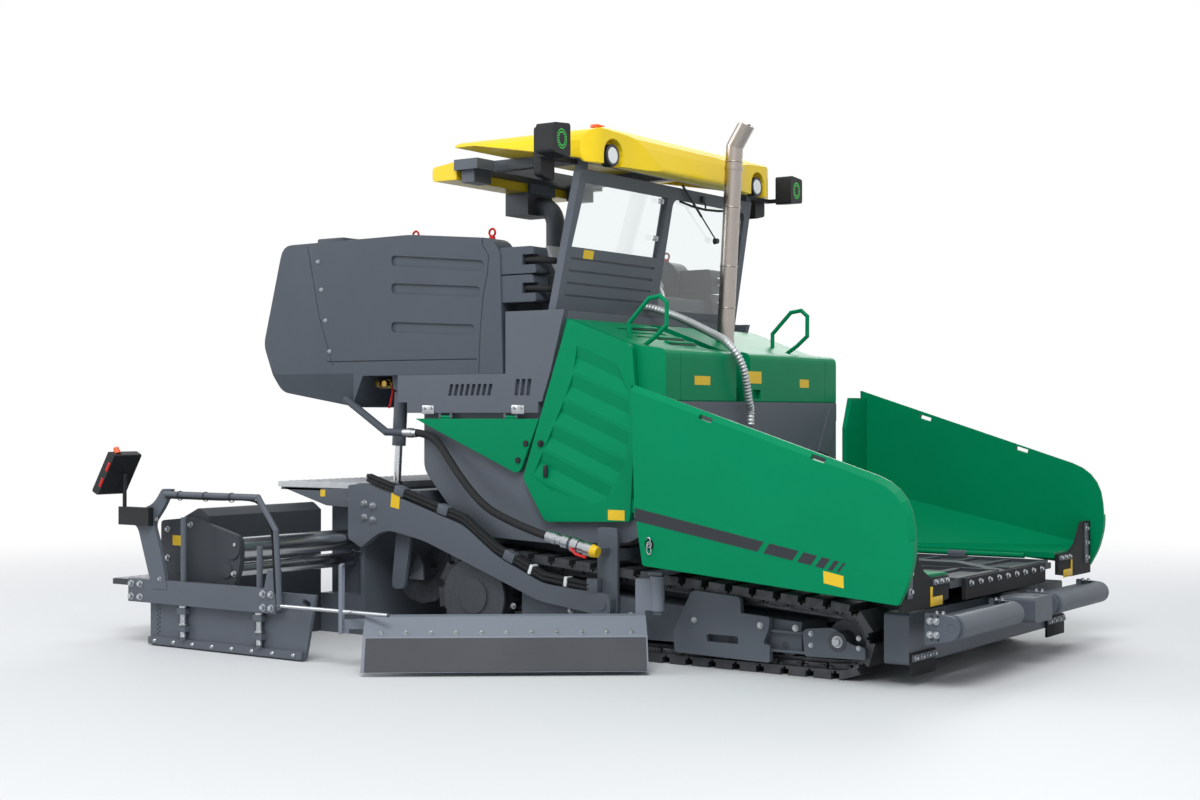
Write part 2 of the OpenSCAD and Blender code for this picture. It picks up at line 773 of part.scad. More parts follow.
// Green door with pressed ribs, hinged at its front edge
module side_door(side) {
    machine() hand(side) color(green) {
        difference() {
            side_slab(door_outline, half - door_t, half);
            intersection() {
                side_slab(rib_field, half - rib_depth, half + 1);
                for (i = [0 : door_ribs - 1])
                    translate([rib_from[0], 0, rib_from[1] + i * rib_pitch]) rotate([0, rib_slope, 0])
                        cross_slab([[half + 2, 4 - rib_h], [half - rib_depth, -rib_h / 2], [half + 2, 0]], -400, 1200);
            }
        }
        for (z = door_hinge_z) difference() {
            union() {
                translate([door_hinge_x, door_hinge_y, z]) cylinder(r = door_knuckle_r, h = door_knuckle_h);
                block([door_hinge_x - 50, door_hinge_y - 6, z], [door_hinge_x, door_hinge_y + 6, z + door_knuckle_h]);
            }
            translate([door_hinge_x, door_hinge_y, z - 1]) cylinder(r = door_pin_r + pin_fit, h = door_knuckle_h + 2);
        }
    }
}

flap_top_z = 1574;
flap_hinge_y = half - flap_t / 2;
flap_hinge_z = flap_top_z + 12;
flap_hinge_x = [-1870, -1290];
flap_knuckle_l = 80;
flap_knuckle_r = 10;
flap_pin_r = 5;
sill_low_z = 1614;

// Green flap under the sill, hung on two hinges
module side_flap(side) {
    machine() hand(side) color(green) {
        difference() {
            side_slab(rounded([
                [-2106, flap_top_z], [-1005, flap_top_z], [-1172, 1190]
            ], [20, 15, 60]), half - flap_t, half);
            translate([-2106, half, flap_top_z - 60]) rotate([0, 19, 0]) rotate([-10, 0, 0])
                translate([-200, 0, -500]) cube([1600, 100, 500]);
        }
        for (x = flap_hinge_x) difference() {
            union() {
                rod_x(x, flap_hinge_y, flap_hinge_z, flap_knuckle_r, flap_knuckle_l);
                block([x, flap_hinge_y - 5, flap_top_z - 2], [x + flap_knuckle_l, flap_hinge_y + 5, flap_hinge_z]);
            }
            rod_x(x - 1, flap_hinge_y, flap_hinge_z, flap_pin_r + pin_fit, flap_knuckle_l + 2);
        }
    }
}

vent_count = 8;

// Sills, louvred panels and front corner panels on both sides
module side_panels() {
    machine() both_hands() color(graphite) {
        block([-2180, hood_half, sill_low_z], [-1010, half, deck_z]);
        for (x = flap_hinge_x) {
            rod_x(x - 20, flap_hinge_y, flap_hinge_z, flap_pin_r, flap_knuckle_l + 40);
            for (end = [x - 20, x + flap_knuckle_l + seat_fit])
                block([end, flap_hinge_y - 8, flap_hinge_z - 8], [end + 20 - seat_fit, flap_hinge_y + 8, sill_low_z + 1]);
        }
        difference() {
            side_slab([[deck_x0, deck_z - 1], [-980, deck_z - 1], [-910, floor_z], [deck_x0, floor_z]], hood_half, half);
            for (i = [0 : vent_count - 1])
                side_slab([for (p = [[0, 0], [30, 0], [48, 80], [18, 80]]) p + [-1800 + i * 50, 1735]], half - 30, half + 1);
            for (i = [0 : 2])
                side_slab([for (p = [[0, 0], [34, 0], [48, 112], [14, 112]]) p + [-1213 + i * 50, 1733]], half - 30, half + 1);
        }
        side_slab([[-1290, floor_z - 1], [-910, floor_z - 1], [-790, screen_low_z], [-1290, screen_low_z]],
            hood_half, half);
    }
}

deck_wall = 40;
port_x = [-2490, -2570];
port_z = 1828;
port_r = 20;
deck_x0 = -2270;

// Deck box under the stand, with the cowl that carries the windscreen
module platform() {
    machine() color(graphite) {
        difference() {
            block([deck_x0, -hood_half, deck_z], [cowl_x, hood_half, floor_z]);
            block([deck_x0 + deck_wall, -hood_half + deck_wall, deck_z - 1],
                [cowl_x - deck_wall, hood_half - deck_wall, floor_z - deck_wall]);
        }
        block([-2600, -900, floor_z - 110], [deck_x0 + 1, 900, floor_z]);
        both_hands() for (y = [lift_y - 50, lift_y + 26])
            side_slab(rounded([
                [lift_top[0] - 50, floor_z], [lift_top[0] - 40, lift_top[1] - 45], [lift_top[0] + 40, lift_top[1] - 45],
                [deck_x0 + 30, deck_z + 30], [deck_x0 + 30, floor_z - 5]
            ], [0, 30, 30, 0, 0]), y, y + 24);
        both_hands() pin_y(lift_top[0], lift_top[1], lift_pin_r, lift_y - 50, lift_y + 50);
        block([-1010, -hood_half, floor_z - 1], [cowl_x, hood_half, screen_low_z]);
        both_hands() for (x = port_x) {
            pin_y(x, port_z, port_r, 899, 1070);
            pin_y(x, port_z, port_r + 18, 1030, 1050);
        }
    }
}

tank_outline = rounded([
    [-3421, tank_top_z - 10], [-2155, tank_top_z], [-1409, tank_top_z - 66], [-1338, 2723], [-1312, floor_z],
    [-2606, floor_z], [-2714, 1651], [-3472, 1774], [-3622, 2134]
], [90, 60, 60, 40, 0, 0, 30, 60, 60]);

// Long ribs in the tank's sides: front end, height there and height at the rear
tank_ribs = [[-1480, 2633, 2712], [-1516, 2454, 2512], [-1561, 2190, 2232]];
tank_rib_x0 = -2330;
tank_rib_h = 74;
tank_rib_depth = 14;
tank_seam_depth = 6;
tank_fold_z = 1905;
tank_fold_lean = 20;
pod_z = [2372, 2566];
pod_h = 186;
pod_in = bay_half + 20;
feed_y = half - 14;
feed_path = [[-2790, feed_y, 1720], [-2714, feed_y, 1673], [-2391, feed_y, 1477], [-2153, feed_y, 1471]];
feed_r = 27;

// Line cut into the tank's side through points
module tank_seam(points) {
    side_slab([each points, each [for (i = [len(points) - 1 : -1 : 0]) points[i] - [seam_w, 0]]],
        half - tank_seam_depth, half + 1);
}

// Ribs, seams and lower fold cut into one side of the tank
module tank_relief() {
    for (rib = tank_ribs)
        side_slab(rounded([
            [tank_rib_x0, rib[2] - tank_rib_h / 2], [rib[0], rib[1] - tank_rib_h / 2], [rib[0], rib[1] + tank_rib_h / 2],
            [tank_rib_x0, rib[2] + tank_rib_h / 2]
        ], 34), half - tank_rib_depth, half + 1);
    tank_seam([[-1489, 2840], [-1489, 2779], [-1435, 2705], [-1444, 2578], [-1480, 2438], [-1507, 2198], [-1520, 1890]]);
    tank_seam([[-3160, 2860], [-3040, 2330], [-2900, 1960]]);
    side_slab([[-2960, 1990], [-1540, 1985], [-1540, 1991], [-2960, 1996]], half - tank_seam_depth, half + 1);
    translate([0, half, tank_fold_z]) rotate([-tank_fold_lean, 0, 0]) translate([-3700, 0, -400]) cube([1000, 200, 400]);
}

// Emulsion tank behind and beside the stand, its front pods and its outlet pipes
module tank_housing() {
    machine() color(graphite) {
        difference() {
            side_slab(tank_outline, -half, half);
            block([-bay_back, -bay_half, floor_z - 1], [-1200, bay_half, tank_top_z + 100]);
            both_hands() tank_relief();
        }
        both_hands() {
            for (z = pod_z) difference() {
                side_slab(rounded([
                    [-1345, z], [-1030, z], [-1060, z + pod_h], [-1345, z + pod_h]
                ], [0, 24, 24, 0]), pod_in, half - 8);
                block([-1150, half - 70, z + 60], [-1000, half, z + 130]);
            }
            bent_bar(feed_path, feed_r);
        }
    }
}

// Two seats on pedestals
module seats() {
    machine() both_hands() color(rubber) {
        block([-1900, 520, floor_z], [-1650, 760, floor_z + 300]);
        side_slab(rounded([
            [-2010, floor_z + 299], [-1500, floor_z + 299], [-1480, floor_z + 430], [-1890, floor_z + 430],
            [-1960, floor_z + 1000], [-2050, floor_z + 1000]
        ], 40), 400, 880);
    }
}

// Console across the front of the stand
module operator_desk() {
    machine() color(graphite) {
        side_slab(rounded([
            [-1180, floor_z], [-1010, floor_z], [-1010, 2500], [-1240, 2420], [-1240, 2380]
        ], [0, 0, 30, 20, 20]), -900, 900);
    }
}

screen_tilt = atan(screen_lean / (screen_top_z - screen_low_z));
screen_h = norm([screen_lean, screen_top_z - screen_low_z]);
screen_foot_half = 1205;
screen_top_half = 1150;
post_w = 78;
screen_panel_h = 450;
screen_over = 40;

// Places a shape drawn in the windscreen's own plane, (y, up) with its thickness along X
module on_screen() {
    translate([-960, 0, screen_low_z]) rotate([0, screen_tilt, 0]) rotate([90, 0, 90]) children();
}

// Outline of one pane's opening, from y0 to the outer post
function pane(side) = [
    [side * post_w / 2, pane_low(side)], [side * (screen_foot_half - post_w), pane_low(side)],
    [side * (screen_top_half - post_w), screen_h - post_w], [side * post_w / 2, screen_h - post_w]
];

// The right half is closed by a panel up to this height
function pane_low(side) = side < 0 ? screen_panel_h : post_w;

module windscreen_frame() {
    machine() color(graphite) intersection() {
        on_screen() linear_extrude(screen_t) difference() {
            polygon([
                [-screen_foot_half, -screen_over], [screen_foot_half, -screen_over],
                [screen_top_half, screen_h + screen_over], [-screen_top_half, screen_h + screen_over]
            ]);
            polygon(rounded(pane(1), 60));
            polygon(pane(-1));
        }
        block([-1300, -half, screen_low_z], [-500, half, screen_top_z]);
        on_screen() difference() {
            translate([-half, -100, 0]) cube([2 * half, screen_h + 300, screen_t]);
            for (i = [0 : 3])
                translate([-1120, 110 + i * 85, screen_t - 9]) cube([1040, 14, 20]);
        }
    }
}

module windscreen_glass() {
    machine() color("#BFD8DC") on_screen() translate([0, 0, screen_t / 2 - glass_t / 2])
        for (side = [-1, 1]) linear_extrude(glass_t) polygon(side < 0 ? pane(side) : rounded(pane(side), 60));
}

roof_under_z = roof_top_z - 134;
roof_low_z = roof_top_z - 322;
frame_top_z = roof_under_z;
frame_z = roof_under_z - 78;
roof_side = rounded([
    [-490, roof_low_z], [-560, roof_top_z - 52], [-1000, roof_top_z], [-1740, roof_top_z - 30], [-1760, roof_under_z],
    [-690, roof_under_z], [-655, roof_low_z]
], [40, 120, 120, 40, 20, 20, 30]);
roof_front = rounded([
    [-roof_half, roof_low_z - 10], [roof_half, roof_low_z - 10], [roof_half + 20, roof_top_z - 112],
    [700, roof_top_z + 1], [-700, roof_top_z + 1], [-roof_half - 20, roof_top_z - 112]
], [60, 60, 120, 300, 300, 120]);

// Half of the roof's outline from above: the middle bulge, the lobe and the side
roof_plan = [[-490, 480], [-560, 780], [-575, 1160], [-650, roof_half + 25], [-1780, roof_half + 25]];
roof_bends = [140, 110, 60, 60, 0];
roof_wall = 70;
lamp_y = roof_half - 269;
lamp_z = roof_top_z - 255;
lamp_r = 76;
arch_r = 112;
arch_x = -640;

// Roof's outline from above as a tall slab
module roof_column() {
    last = len(roof_plan) - 1;
    translate([0, 0, roof_low_z - 100]) linear_extrude(500) polygon(rounded([
        each roof_plan,
        each [for (i = [last : -1 : 0]) [roof_plan[i][0], -roof_plan[i][1]]]
    ], [each roof_bends, each [for (i = [last : -1 : 0]) roof_bends[i]]]));
}

// Moulded roof with side skirts, lamp arches and a rear lip
module roof() {
    machine() color(yellow) {
        difference() {
            intersection() {
                union() {
                    side_slab(roof_side, -roof_half - 30, roof_half + 30);
                    both_hands() side_slab(rounded([
                        [-620, roof_low_z + 20], [-600, roof_top_z - 100], [-1730, roof_top_z - 40],
                        [-1690, roof_top_z - 115], [-1092, roof_top_z - 216]
                    ], [30, 0, 0, 30, 120]), roof_half - roof_wall, roof_half + 30);
                }
                cross_slab(roof_front, -1800, -480);
                roof_column();
            }
            both_hands() {
                cross_slab([
                    for (i = [0 : 8]) [lamp_y + arch_r * cos(i * 22.5), lamp_z + arch_r * sin(i * 22.5)],
                    [lamp_y - arch_r, roof_low_z - 100], [lamp_y + arch_r, roof_low_z - 100]
                ], arch_x, arch_x + 200);
                block([-1800, roof_half - 12, roof_top_z - 96], [-940, roof_half + 60, roof_top_z - 84]);
            }
        }
        side_slab(rounded([
            [-2350, lip_low_z], [-2120, lip_low_z], [-2120, frame_z + 70], [-2350, frame_z + 40]
        ], [30, 0, 0, 30]), -770, 770);
    }
}

duct_r = 74;
duct_x = -1960;
duct_y = 250;
duct_bend = 150;
duct_box_z = frame_z - 240;
lip_low_z = frame_z - 65;

// Grey roof frame with the extraction duct that carries its rear
module roof_frame() {
    machine() color(graphite) {
        block([-2120, -800, frame_z], [-1900, 800, frame_top_z]);
        both_hands() block([-1901, 520, frame_z], [-720, 600, frame_top_z]);
        block([-860, -1140, frame_z - 60], [-700, 1140, frame_z + 1]);
        both_hands() block([-780, screen_top_half - post_w, screen_top_z], [-722, 1140, frame_z - 59]);
        both_hands() block([-2080, 560, frame_z - 90], [-1960, 760, frame_z + 1]);
        block([duct_x - duct_bend - 220, duct_y - 160, duct_box_z],
            [duct_x - duct_bend + 1, duct_y + 160, lip_low_z - seat_fit]);
        block([duct_x - duct_bend - 1, duct_y - 160, duct_box_z + 160], [duct_x - duct_bend + 30, duct_y + 160, frame_z + 1]);
        translate([duct_x, duct_y, floor_z]) cylinder(r = duct_r, h = duct_box_z + duct_r - duct_bend - floor_z);
        translate([duct_x - duct_bend, duct_y, duct_box_z + duct_r - duct_bend]) rotate([90, 0, 0])
            rotate_extrude(angle = 90) translate([duct_bend, 0]) circle(r = duct_r);
    }
}

signal_x = -560;
signal_y = [roof_half + 245, roof_half + 435];
signal_z = roof_top_z - 225;
signal_arm_z = roof_low_z + 5;

// Round work lamps, and signal boxes and mirrors on their arms
module roof_lamps() {
    machine() both_hands() color(rubber) {
        block([-800, roof_half - 115, signal_arm_z], [-760, roof_half + 285, signal_arm_z + 30]);
        block([-800, roof_half + 255, signal_arm_z], [-690, roof_half + 285, signal_arm_z + 30]);
        cross_slab(rounded([
            [signal_y[0], signal_z - 110], [signal_y[1], signal_z - 90], [signal_y[1], signal_z + 100],
            [signal_y[0], signal_z + 115]
        ], 24), signal_x - 140, signal_x);
        cross_slab(rounded([
            [roof_half + 95, signal_z - 230], [signal_y[0], signal_z - 200], [signal_y[0], signal_z + 120],
            [roof_half + 95, signal_z + 130]
        ], 24), -860, -799);
        rod_x(arch_x, lamp_y, lamp_z, lamp_r, 60);
    }
}

exhaust_foot = [-420, 230, 2060];
exhaust_lean = 3.3;
exhaust_len = 1490;

// Places a shape drawn up from the foot of the exhaust
module on_exhaust() {
    translate(exhaust_foot) rotate([0, exhaust_lean, 0]) children();
}

// Leaning pipe with a slash-cut bend
module exhaust() {
    machine() color(steel) on_exhaust() difference() {
        union() {
            cylinder(r = exhaust_r, h = exhaust_len);
            translate([0, 0, exhaust_len]) sphere(r = exhaust_r);
            translate([0, 0, exhaust_len]) rotate([0, 30, 0]) cylinder(r = exhaust_r, h = 190);
        }
        translate([0, 0, exhaust_len]) rotate([0, 30, 0]) cylinder(r = exhaust_r - 5, h = 200);
        translate([-60, -200, exhaust_len + 145]) rotate([0, -10, 0]) cube([400, 400, 200]);
    }
}

arm_outline = rounded([
    [-2494, 1107], [-1582, 835], [-1300, 640], [-900, 470], [tow_x + 70, tow_z + 75], [tow_x + 70, tow_z - 75],
    [-933, 354], [-1500, 560], [-1945, 716], [-2320, 787], [-2532, 641], [-2660, 700], [-2660, 1090]
], [40, 80, 80, 80, 60, 60, 60, 60, 60, 120, 20, 20, 20]);

// Arm from the tow point back to the screed's end
module tow_arm(side) {
    machine() hand(side) color(graphite) difference() {
        side_slab(arm_outline, arm_in, arm_out);
        pin_y(tow_x, tow_z, tow_pin_r + pin_fit, arm_in - 1, arm_out + 1);
    }
}

ext_in = 60 + extend_travel;
ext_out = gate_half - gate_t;
nose_out = ext_out - 90;
nose_in = nose_out - 40;
screed_box_half = nose_in - extend_travel - gap;
guide_in = screed_box_half - 150;
screed_x0 = -3000;
screed_x1 = -2562;
screed_top_z = 1060;
screed_low_box_z = 285;
screed_wall = 40;
flange_x = screed_x1 - 78;

// Axes of the two extension tubes; the left pair lies behind the right pair
function tube_axis(side) = [side == "left" ? -2898 : -2738, 690];
function low_tube_axis(side) = [side == "left" ? -2910 : -2790, 540];

// Basic screed box, recessed at its ends for the extensions, with guides for their tubes
module screed_main() {
    machine() color(graphite) difference() {
        union() {
            side_slab(rounded([
                [screed_x0, 0], [screed_x1, 0], [screed_x1, screed_low_box_z], [screed_x0, screed_low_box_z]
            ], [0, 40, 0, 0]), -screed_half, screed_half);
            block([screed_x0, -screed_box_half, screed_low_box_z - 1], [screed_x1, screed_box_half, screed_top_z]);
            block([screed_x1 - screed_wall, -screed_half, screed_low_box_z - 1], [screed_x1, screed_half, screed_top_z]);
            both_hands() block([flange_x, screed_box_half - 1, 700], [screed_x1, arm_in, 1050]);
            for (side = ["right", "left"]) hand(side)
                pin_y(tube_axis(side)[0], tube_axis(side)[1], tube_r + 22, screed_box_half - 1, screed_box_half + gap / 2);
            block([-3410, -screed_half, screed_top_z - 20], [screed_x0 + 1, screed_half, screed_top_z]);
            both_hands() {
                for (y = [lift_y - 50, lift_y + 26])
                    side_slab(rounded([
                        [screed_x1 - 30, 900], [screed_x1 + 2, 900], [lift_low[0] + 45, lift_low[1] - 40],
                        [lift_low[0] + 45, lift_low[1] + 40], [screed_x1 - 30, screed_top_z]
                    ], [0, 0, 40, 40, 0]), y, y + 24);
                pin_y(lift_low[0], lift_low[1], lift_pin_r, lift_y - 50, lift_y + 50);
            }
        }
        for (span = [[-guide_in, guide_in], [guide_in + screed_wall, screed_box_half - screed_wall],
                [screed_wall - screed_box_half, -guide_in - screed_wall]]) {
            block([screed_x0 + 15, span[0], 60], [screed_x1 - 2 * screed_wall, span[1], screed_top_z + 1]);
            block([screed_x1 - 2 * screed_wall - 1, span[0], 60], [screed_x1 - screed_wall, span[1], screed_top_z - screed_wall]);
        }
        for (side = ["right", "left"]) hand(side) {
            pin_y(tube_axis(side)[0], tube_axis(side)[1], tube_r + tube_fit, guide_in - 1, screed_box_half + gap);
            pin_y(low_tube_axis(side)[0], low_tube_axis(side)[1], low_tube_r + tube_fit, guide_in - 1, screed_box_half + 1);
        }
    }
}

module screed_walkway() {
    machine() color("#D8DADC") block([-3440, -screed_half, screed_top_z], [-2640, screed_half, screed_top_z + 40]);
}

ext_x1 = screed_x0 - gap;
ext_x0 = -3450;
ext_wall = 30;
nose_x1 = flange_x - 20;
ext_outline = [[ext_x0, 0], [ext_x1, 0], [ext_x1, 900], [-3100, 960], [ext_x0, 800]];

// Extension box behind the basic screed, its nose plate, its tubes and its step
module extension(side) {
    machine() hand(side) color(dark) {
        difference() {
            side_slab(rounded(ext_outline, [0, 0, 0, 30, 30]), ext_in, nose_in + 1);
            side_slab(inset(ext_outline, ext_wall), ext_in - 1, nose_in - ext_wall);
        }
        side_slab(rounded([
            [ext_x0, 300], [-2960, 300], [-2700, 460], [nose_x1, 600], [nose_x1, 775], [-3138, 890], [ext_x0, 860]
        ], [30, 60, 60, 40, 60, 60, 30]), nose_in, nose_out);
        pin_y(tube_axis(side)[0], tube_axis(side)[1], tube_r, guide_in, nose_in + 1);
        pin_y(low_tube_axis(side)[0], low_tube_axis(side)[1], low_tube_r, guide_in, nose_in + 1);
        block([-4009, ext_in, 380], [ext_x0 + 1, nose_in, 420]);
        block([ext_x0, nose_out - 1, 300], [-2990, ext_out, 330]);
    }
}

console_in = gate_half + 30;
console_t = 30;
rail_y = console_in + 42;
rail_r = 19;

// Operating panel on its stem beside an end gate
module screed_console(side) {
    machine() hand(side) color(rubber) {
        block([-3640, console_in + console_t + seat_fit, 835], [-3330, console_in + 75, 960]);
        translate([-3602, console_in + 52, 900]) cylinder(r = 14, h = 290);
        side_slab(rounded([[-3770, 1070], [-3705, 1040], [-3530, 1320], [-3595, 1350]], 16),
            console_in - 40, console_in + 200);
    }
}

// End gate on its two spindles, with its side beam, console arm, rail and the rod that guides the spray bar
module end_gate(side) {
    machine() hand(side) color(graphite) {
        difference() {
            side_slab(rounded([
                [-3425, 0], [-1946, 0], [-1849, 437], [-2180, 437], [-2230, 330], [-3426, 330]
            ], [30, 40, 20, 20, 20, 20]), ext_out, gate_half);
            side_slab(rounded([[-1975, 375], [-1905, 340], [-1890, 385], [-1960, 412]], 14), ext_out - 1, gate_half + 1);
        }
        side_slab([[-3425, 12], [-1960, 12], [-1950, 62], [-3425, 62]], gate_half - 1, gate_half + 22);
        side_slab(rounded([
            [-3343, 400], [-3191, 400], [-3250, 640], [-3330, 850], [-3230, 960], [-3143, 1092], [-3243, 1092],
            [-3330, 985], [-3640, 890], [-3600, 835], [-3498, 841]
        ], [0, 0, 60, 40, 40, 10, 20, 60, 20, 20, 60]), console_in, console_in + console_t);
        bent_bar([
            [-3200, rail_y, 1060], [-2300, rail_y, 1060], [-2135, rail_y, 846], [-2098, rail_y, 332]
        ], rail_r);
        for (post = [[-3062, 900], [-2331, 730]])
            translate([post[0], gate_half + 26, 60]) cylinder(r = 20, h = post[1] - 60);
        for (x = [-3062, -2331], z = [120, 240])
            block([x - 40, gate_half - 1, z], [x + 40, gate_half + 50, z + 40]);
        side_slab([[-3593, 300], [-2155, 300], [-2155, 583], [-2230, 583], [-2260, 460], [-3593, 460]],
            gate_half - 1, gate_half + 56);
        pin_y(-2100, 360, 9, gate_half - 1, guide_rod_y);
        rod_x(-2112, guide_rod_y, 360, 12, 960);
    }
}

lift_pin_r = 18;
lift_drift = 16;
lift_y = 1100;
lift_top = [-2361, 1826];
lift_low = [-2408, 1075];
lift_dir = unit(lift_low - lift_top);
lift_tilt = atan2(lift_dir[0], -lift_dir[1]);
barrel_len = 450;
rod_out = norm(lift_low - lift_top);

// Places a shape drawn down from a lift cylinder's upper pin
module on_lift() {
    translate([lift_top[0], lift_y, lift_top[1]]) rotate([0, 180 - lift_tilt, 0]) children();
}

module lift_barrel(side) {
    machine() hand(side) color(graphite) difference() {
        union() {
            on_lift() translate([0, 0, 60]) cylinder(r = barrel_r, h = barrel_len - 60);
            on_lift() rotate([90, 0, 0]) translate([0, 0, -24]) cylinder(r = 46, h = 48);
            on_lift() translate([-30, -24, 0]) cube([60, 48, 62]);
        }
        on_lift() translate([0, 0, 90]) cylinder(r = rod_r + seat_fit, h = barrel_len);
        pin_y(lift_top[0], lift_top[1], lift_pin_r + pin_fit, lift_y - 60, lift_y + 60);
    }
}

module lift_rod(side) {
    machine() hand(side) color(steel) difference() {
        union() {
            on_lift() translate([0, 0, 370]) cylinder(r = rod_r, h = rod_out - 370 - 40);
            on_lift() translate([0, 0, rod_out]) rotate([90, 0, 0]) translate([0, 0, -24]) cylinder(r = 50, h = 48);
        }
        pin_y(lift_low[0], lift_low[1], lift_pin_r + lift_drift, lift_y - 60, lift_y + 60);
    }
}

spray_hinge = [50, 1402];
spray_in = -36;
spray_arm_z = 582;
spray_eye_z = 355;
guide_rod_y = gate_half + 80;
guide_along = (guide_rod_y - spray_hinge[1]) / sin(spray_angle);
guide_post_x = -guide_along - 12;
spray_len = guide_along - 236;
tow_plate_out = arm_in - 7;

valve_y = feed_y + 230;
valve_path = [[-700, valve_y, 786], [-390, valve_y, 716]];
valve_r = 32;

// Spray bar hinge brackets and tow points on the chassis, with their pins and the spray valves
module side_brackets() {
    machine() both_hands() color(graphite) {
        block([0, wall_y, spray_arm_z], [100, spray_hinge[1] + 30, spray_arm_z + 20]);
        block([0, wall_y, spray_arm_z - 90], [100, wall_y + 28, spray_arm_z + 1]);
        translate([spray_hinge[0], spray_hinge[1], spray_eye_z - 24])
            cylinder(r = spray_pin_r, h = spray_arm_z - spray_eye_z + 25);
        translate([spray_hinge[0], spray_hinge[1], spray_eye_z - 24]) cylinder(r = spray_pin_r + 18, h = 24 - seat_fit);
        block([tow_x - 60, wall_y, 640], [tow_x + 60, tow_plate_out, 720]);
        side_slab(rounded([
            [tow_x - 80, tow_z - 60], [tow_x + 80, tow_z - 60], [tow_x + 80, 860], [tow_x - 80, 860]
        ], 30), track_out + 5, tow_plate_out);
        pin_y(tow_x, tow_z, tow_pin_r, tow_plate_out - 1, arm_out + 4);
        block([tow_x - 40, tow_plate_out - 1, 690], [tow_x + 20, valve_y, 730]);
        bent_bar(valve_path, valve_r);
    }
}

// Places a shape drawn back along -X from the hinge with the bar folded in
module on_spray() {
    translate([spray_hinge[0], spray_hinge[1], 0]) rotate([0, 0, -spray_angle]) children();
}

// Covered bar with a rubber skirt, a hinge eye and the guide at its end
module spray_bar(side) {
    machine() hand(side) color(graphite) on_spray() difference() {
        union() {
            translate([-spray_len - 80, 0, 0]) rotate([90, 0, 90]) linear_extrude(spray_len) polygon([
                [spray_in, 180], [spray_in, spray_top_z], [90, spray_top_z], [250, 230], [380, 26], [360, 26],
                [240, 180]
            ]);
            translate([0, 0, spray_eye_z]) cylinder(r = spray_pin_r + 24, h = 220);
            translate([-140, -20, spray_eye_z + 5]) cube([120, 40, 200]);
            translate([-140, -20, 300]) cube([60, 40, 260]);
            translate([guide_post_x + 30, -20, 250]) cube([160, 40, 60]);
            for (y = [-72, 60])
                translate([guide_post_x, y, 240]) cube([24, 12, 410]);
            translate([guide_post_x, -72, 225]) cube([24, 144, 30]);
            translate([guide_post_x, -72, 640]) cube([24, 144, 16]);
            translate([guide_post_x, -20, 225]) cube([60, 40, 40]);
        }
        cylinder(r = spray_pin_r + pin_fit, h = 700);
    }
}

screen_out = [cos(screen_tilt), 0, -sin(screen_tilt)];
hood_port = [-960, -117, screen_low_z] + (screen_t + seat_fit) * screen_out + 87 * [sin(screen_tilt), 0, cos(screen_tilt)];
hose_r = 27;
hose_sides = 10;

// Corrugated hose from the windscreen's foot over the hood and down to its socket on the bulkhead
module hood_hose() {
    machine() color(steel) hose(curve([
        hood_port, hood_port + 30 * screen_out, hood_port + 80 * screen_out, [-600, -105, 2300], [-250, -245, 2175],
        [-20, -390, 2085], [66, -349, 1930], [58, -253, 1703], [socket_x, socket_y, socket_z + 100],
        [socket_x, socket_y, socket_z + 40], [socket_x, socket_y, socket_z + seat_fit]
    ], 3), hose_r + 3, hose_sides);
}

// Feed hose from the tank's outlet pipe down to the valve ahead of the tow arm
module feed_hose(side) {
    machine() hand(side) color(rubber) hose(curve([
        [-2153 + seat_fit, feed_y, 1471], [-2120, feed_y, 1470.2], [-2066, feed_y, 1468.8], [-1951, feed_y + 8, 1440],
        [-1844, feed_y + 34, 1371], [-1649, feed_y + 94, 1201], [-1472, feed_y + 134, 1056],
        [-1313, feed_y + 159, 958], [-1114, feed_y + 184, 886], [-904, feed_y + 204, 827],
        for (back = [80, 30, seat_fit]) valve_path[0] - back * unit(valve_path[1] - valve_path[0])
    ], 2), hose_r, hose_sides);
}

bundle_r = 15;
bundle_y = [arm_in + 16, arm_in + 47];

// Hydraulic hoses clipped along the top of both tow arms
module arm_hoses() {
    machine() both_hands() color(rubber) for (i = [0, 1], y = bundle_y)
        bent_bar([
            for (p = [[-2480, 1118], [-1590, 852], [-1305, 658], [-900, 487], [-520, 440]])
            [p[0], y, p[1] + bundle_r + seat_fit + i * (2 * bundle_r - 1)]
        ], bundle_r);
}

auger_x = chassis_x0 - auger_r - gap;
auger_z = 420;
auger_out = 1215;
chain_case_half = 70;
auger_in = chain_case_half + seat_fit;
flight_t = 16;
flight_steps = 12;

auger_beam_z = tunnel_z + 10;

// Chain case in the middle, its carrier beam and the end bearings
module auger_frame() {
    machine() color(graphite) {
        side_slab(rounded([
            [auger_x - 70, auger_z - 90], [auger_x + 70, auger_z - 90], [auger_x + 70, auger_beam_z + 50],
            [auger_x - 70, auger_beam_z + 50]
        ], [60, 60, 0, 0]), -chain_case_half, chain_case_half);
        block([auger_x, -auger_out - 30, auger_beam_z], [chassis_x0, auger_out + 30, auger_beam_z + 100]);
        both_hands() side_slab(rounded([
            [auger_x - 60, auger_z - 70], [auger_x + 60, auger_z - 70], [auger_x + 160, auger_beam_z + 1],
            [auger_x + 10, auger_beam_z + 1]
        ], [50, 50, 0, 0]), auger_out + seat_fit, auger_out + 30);
    }
}

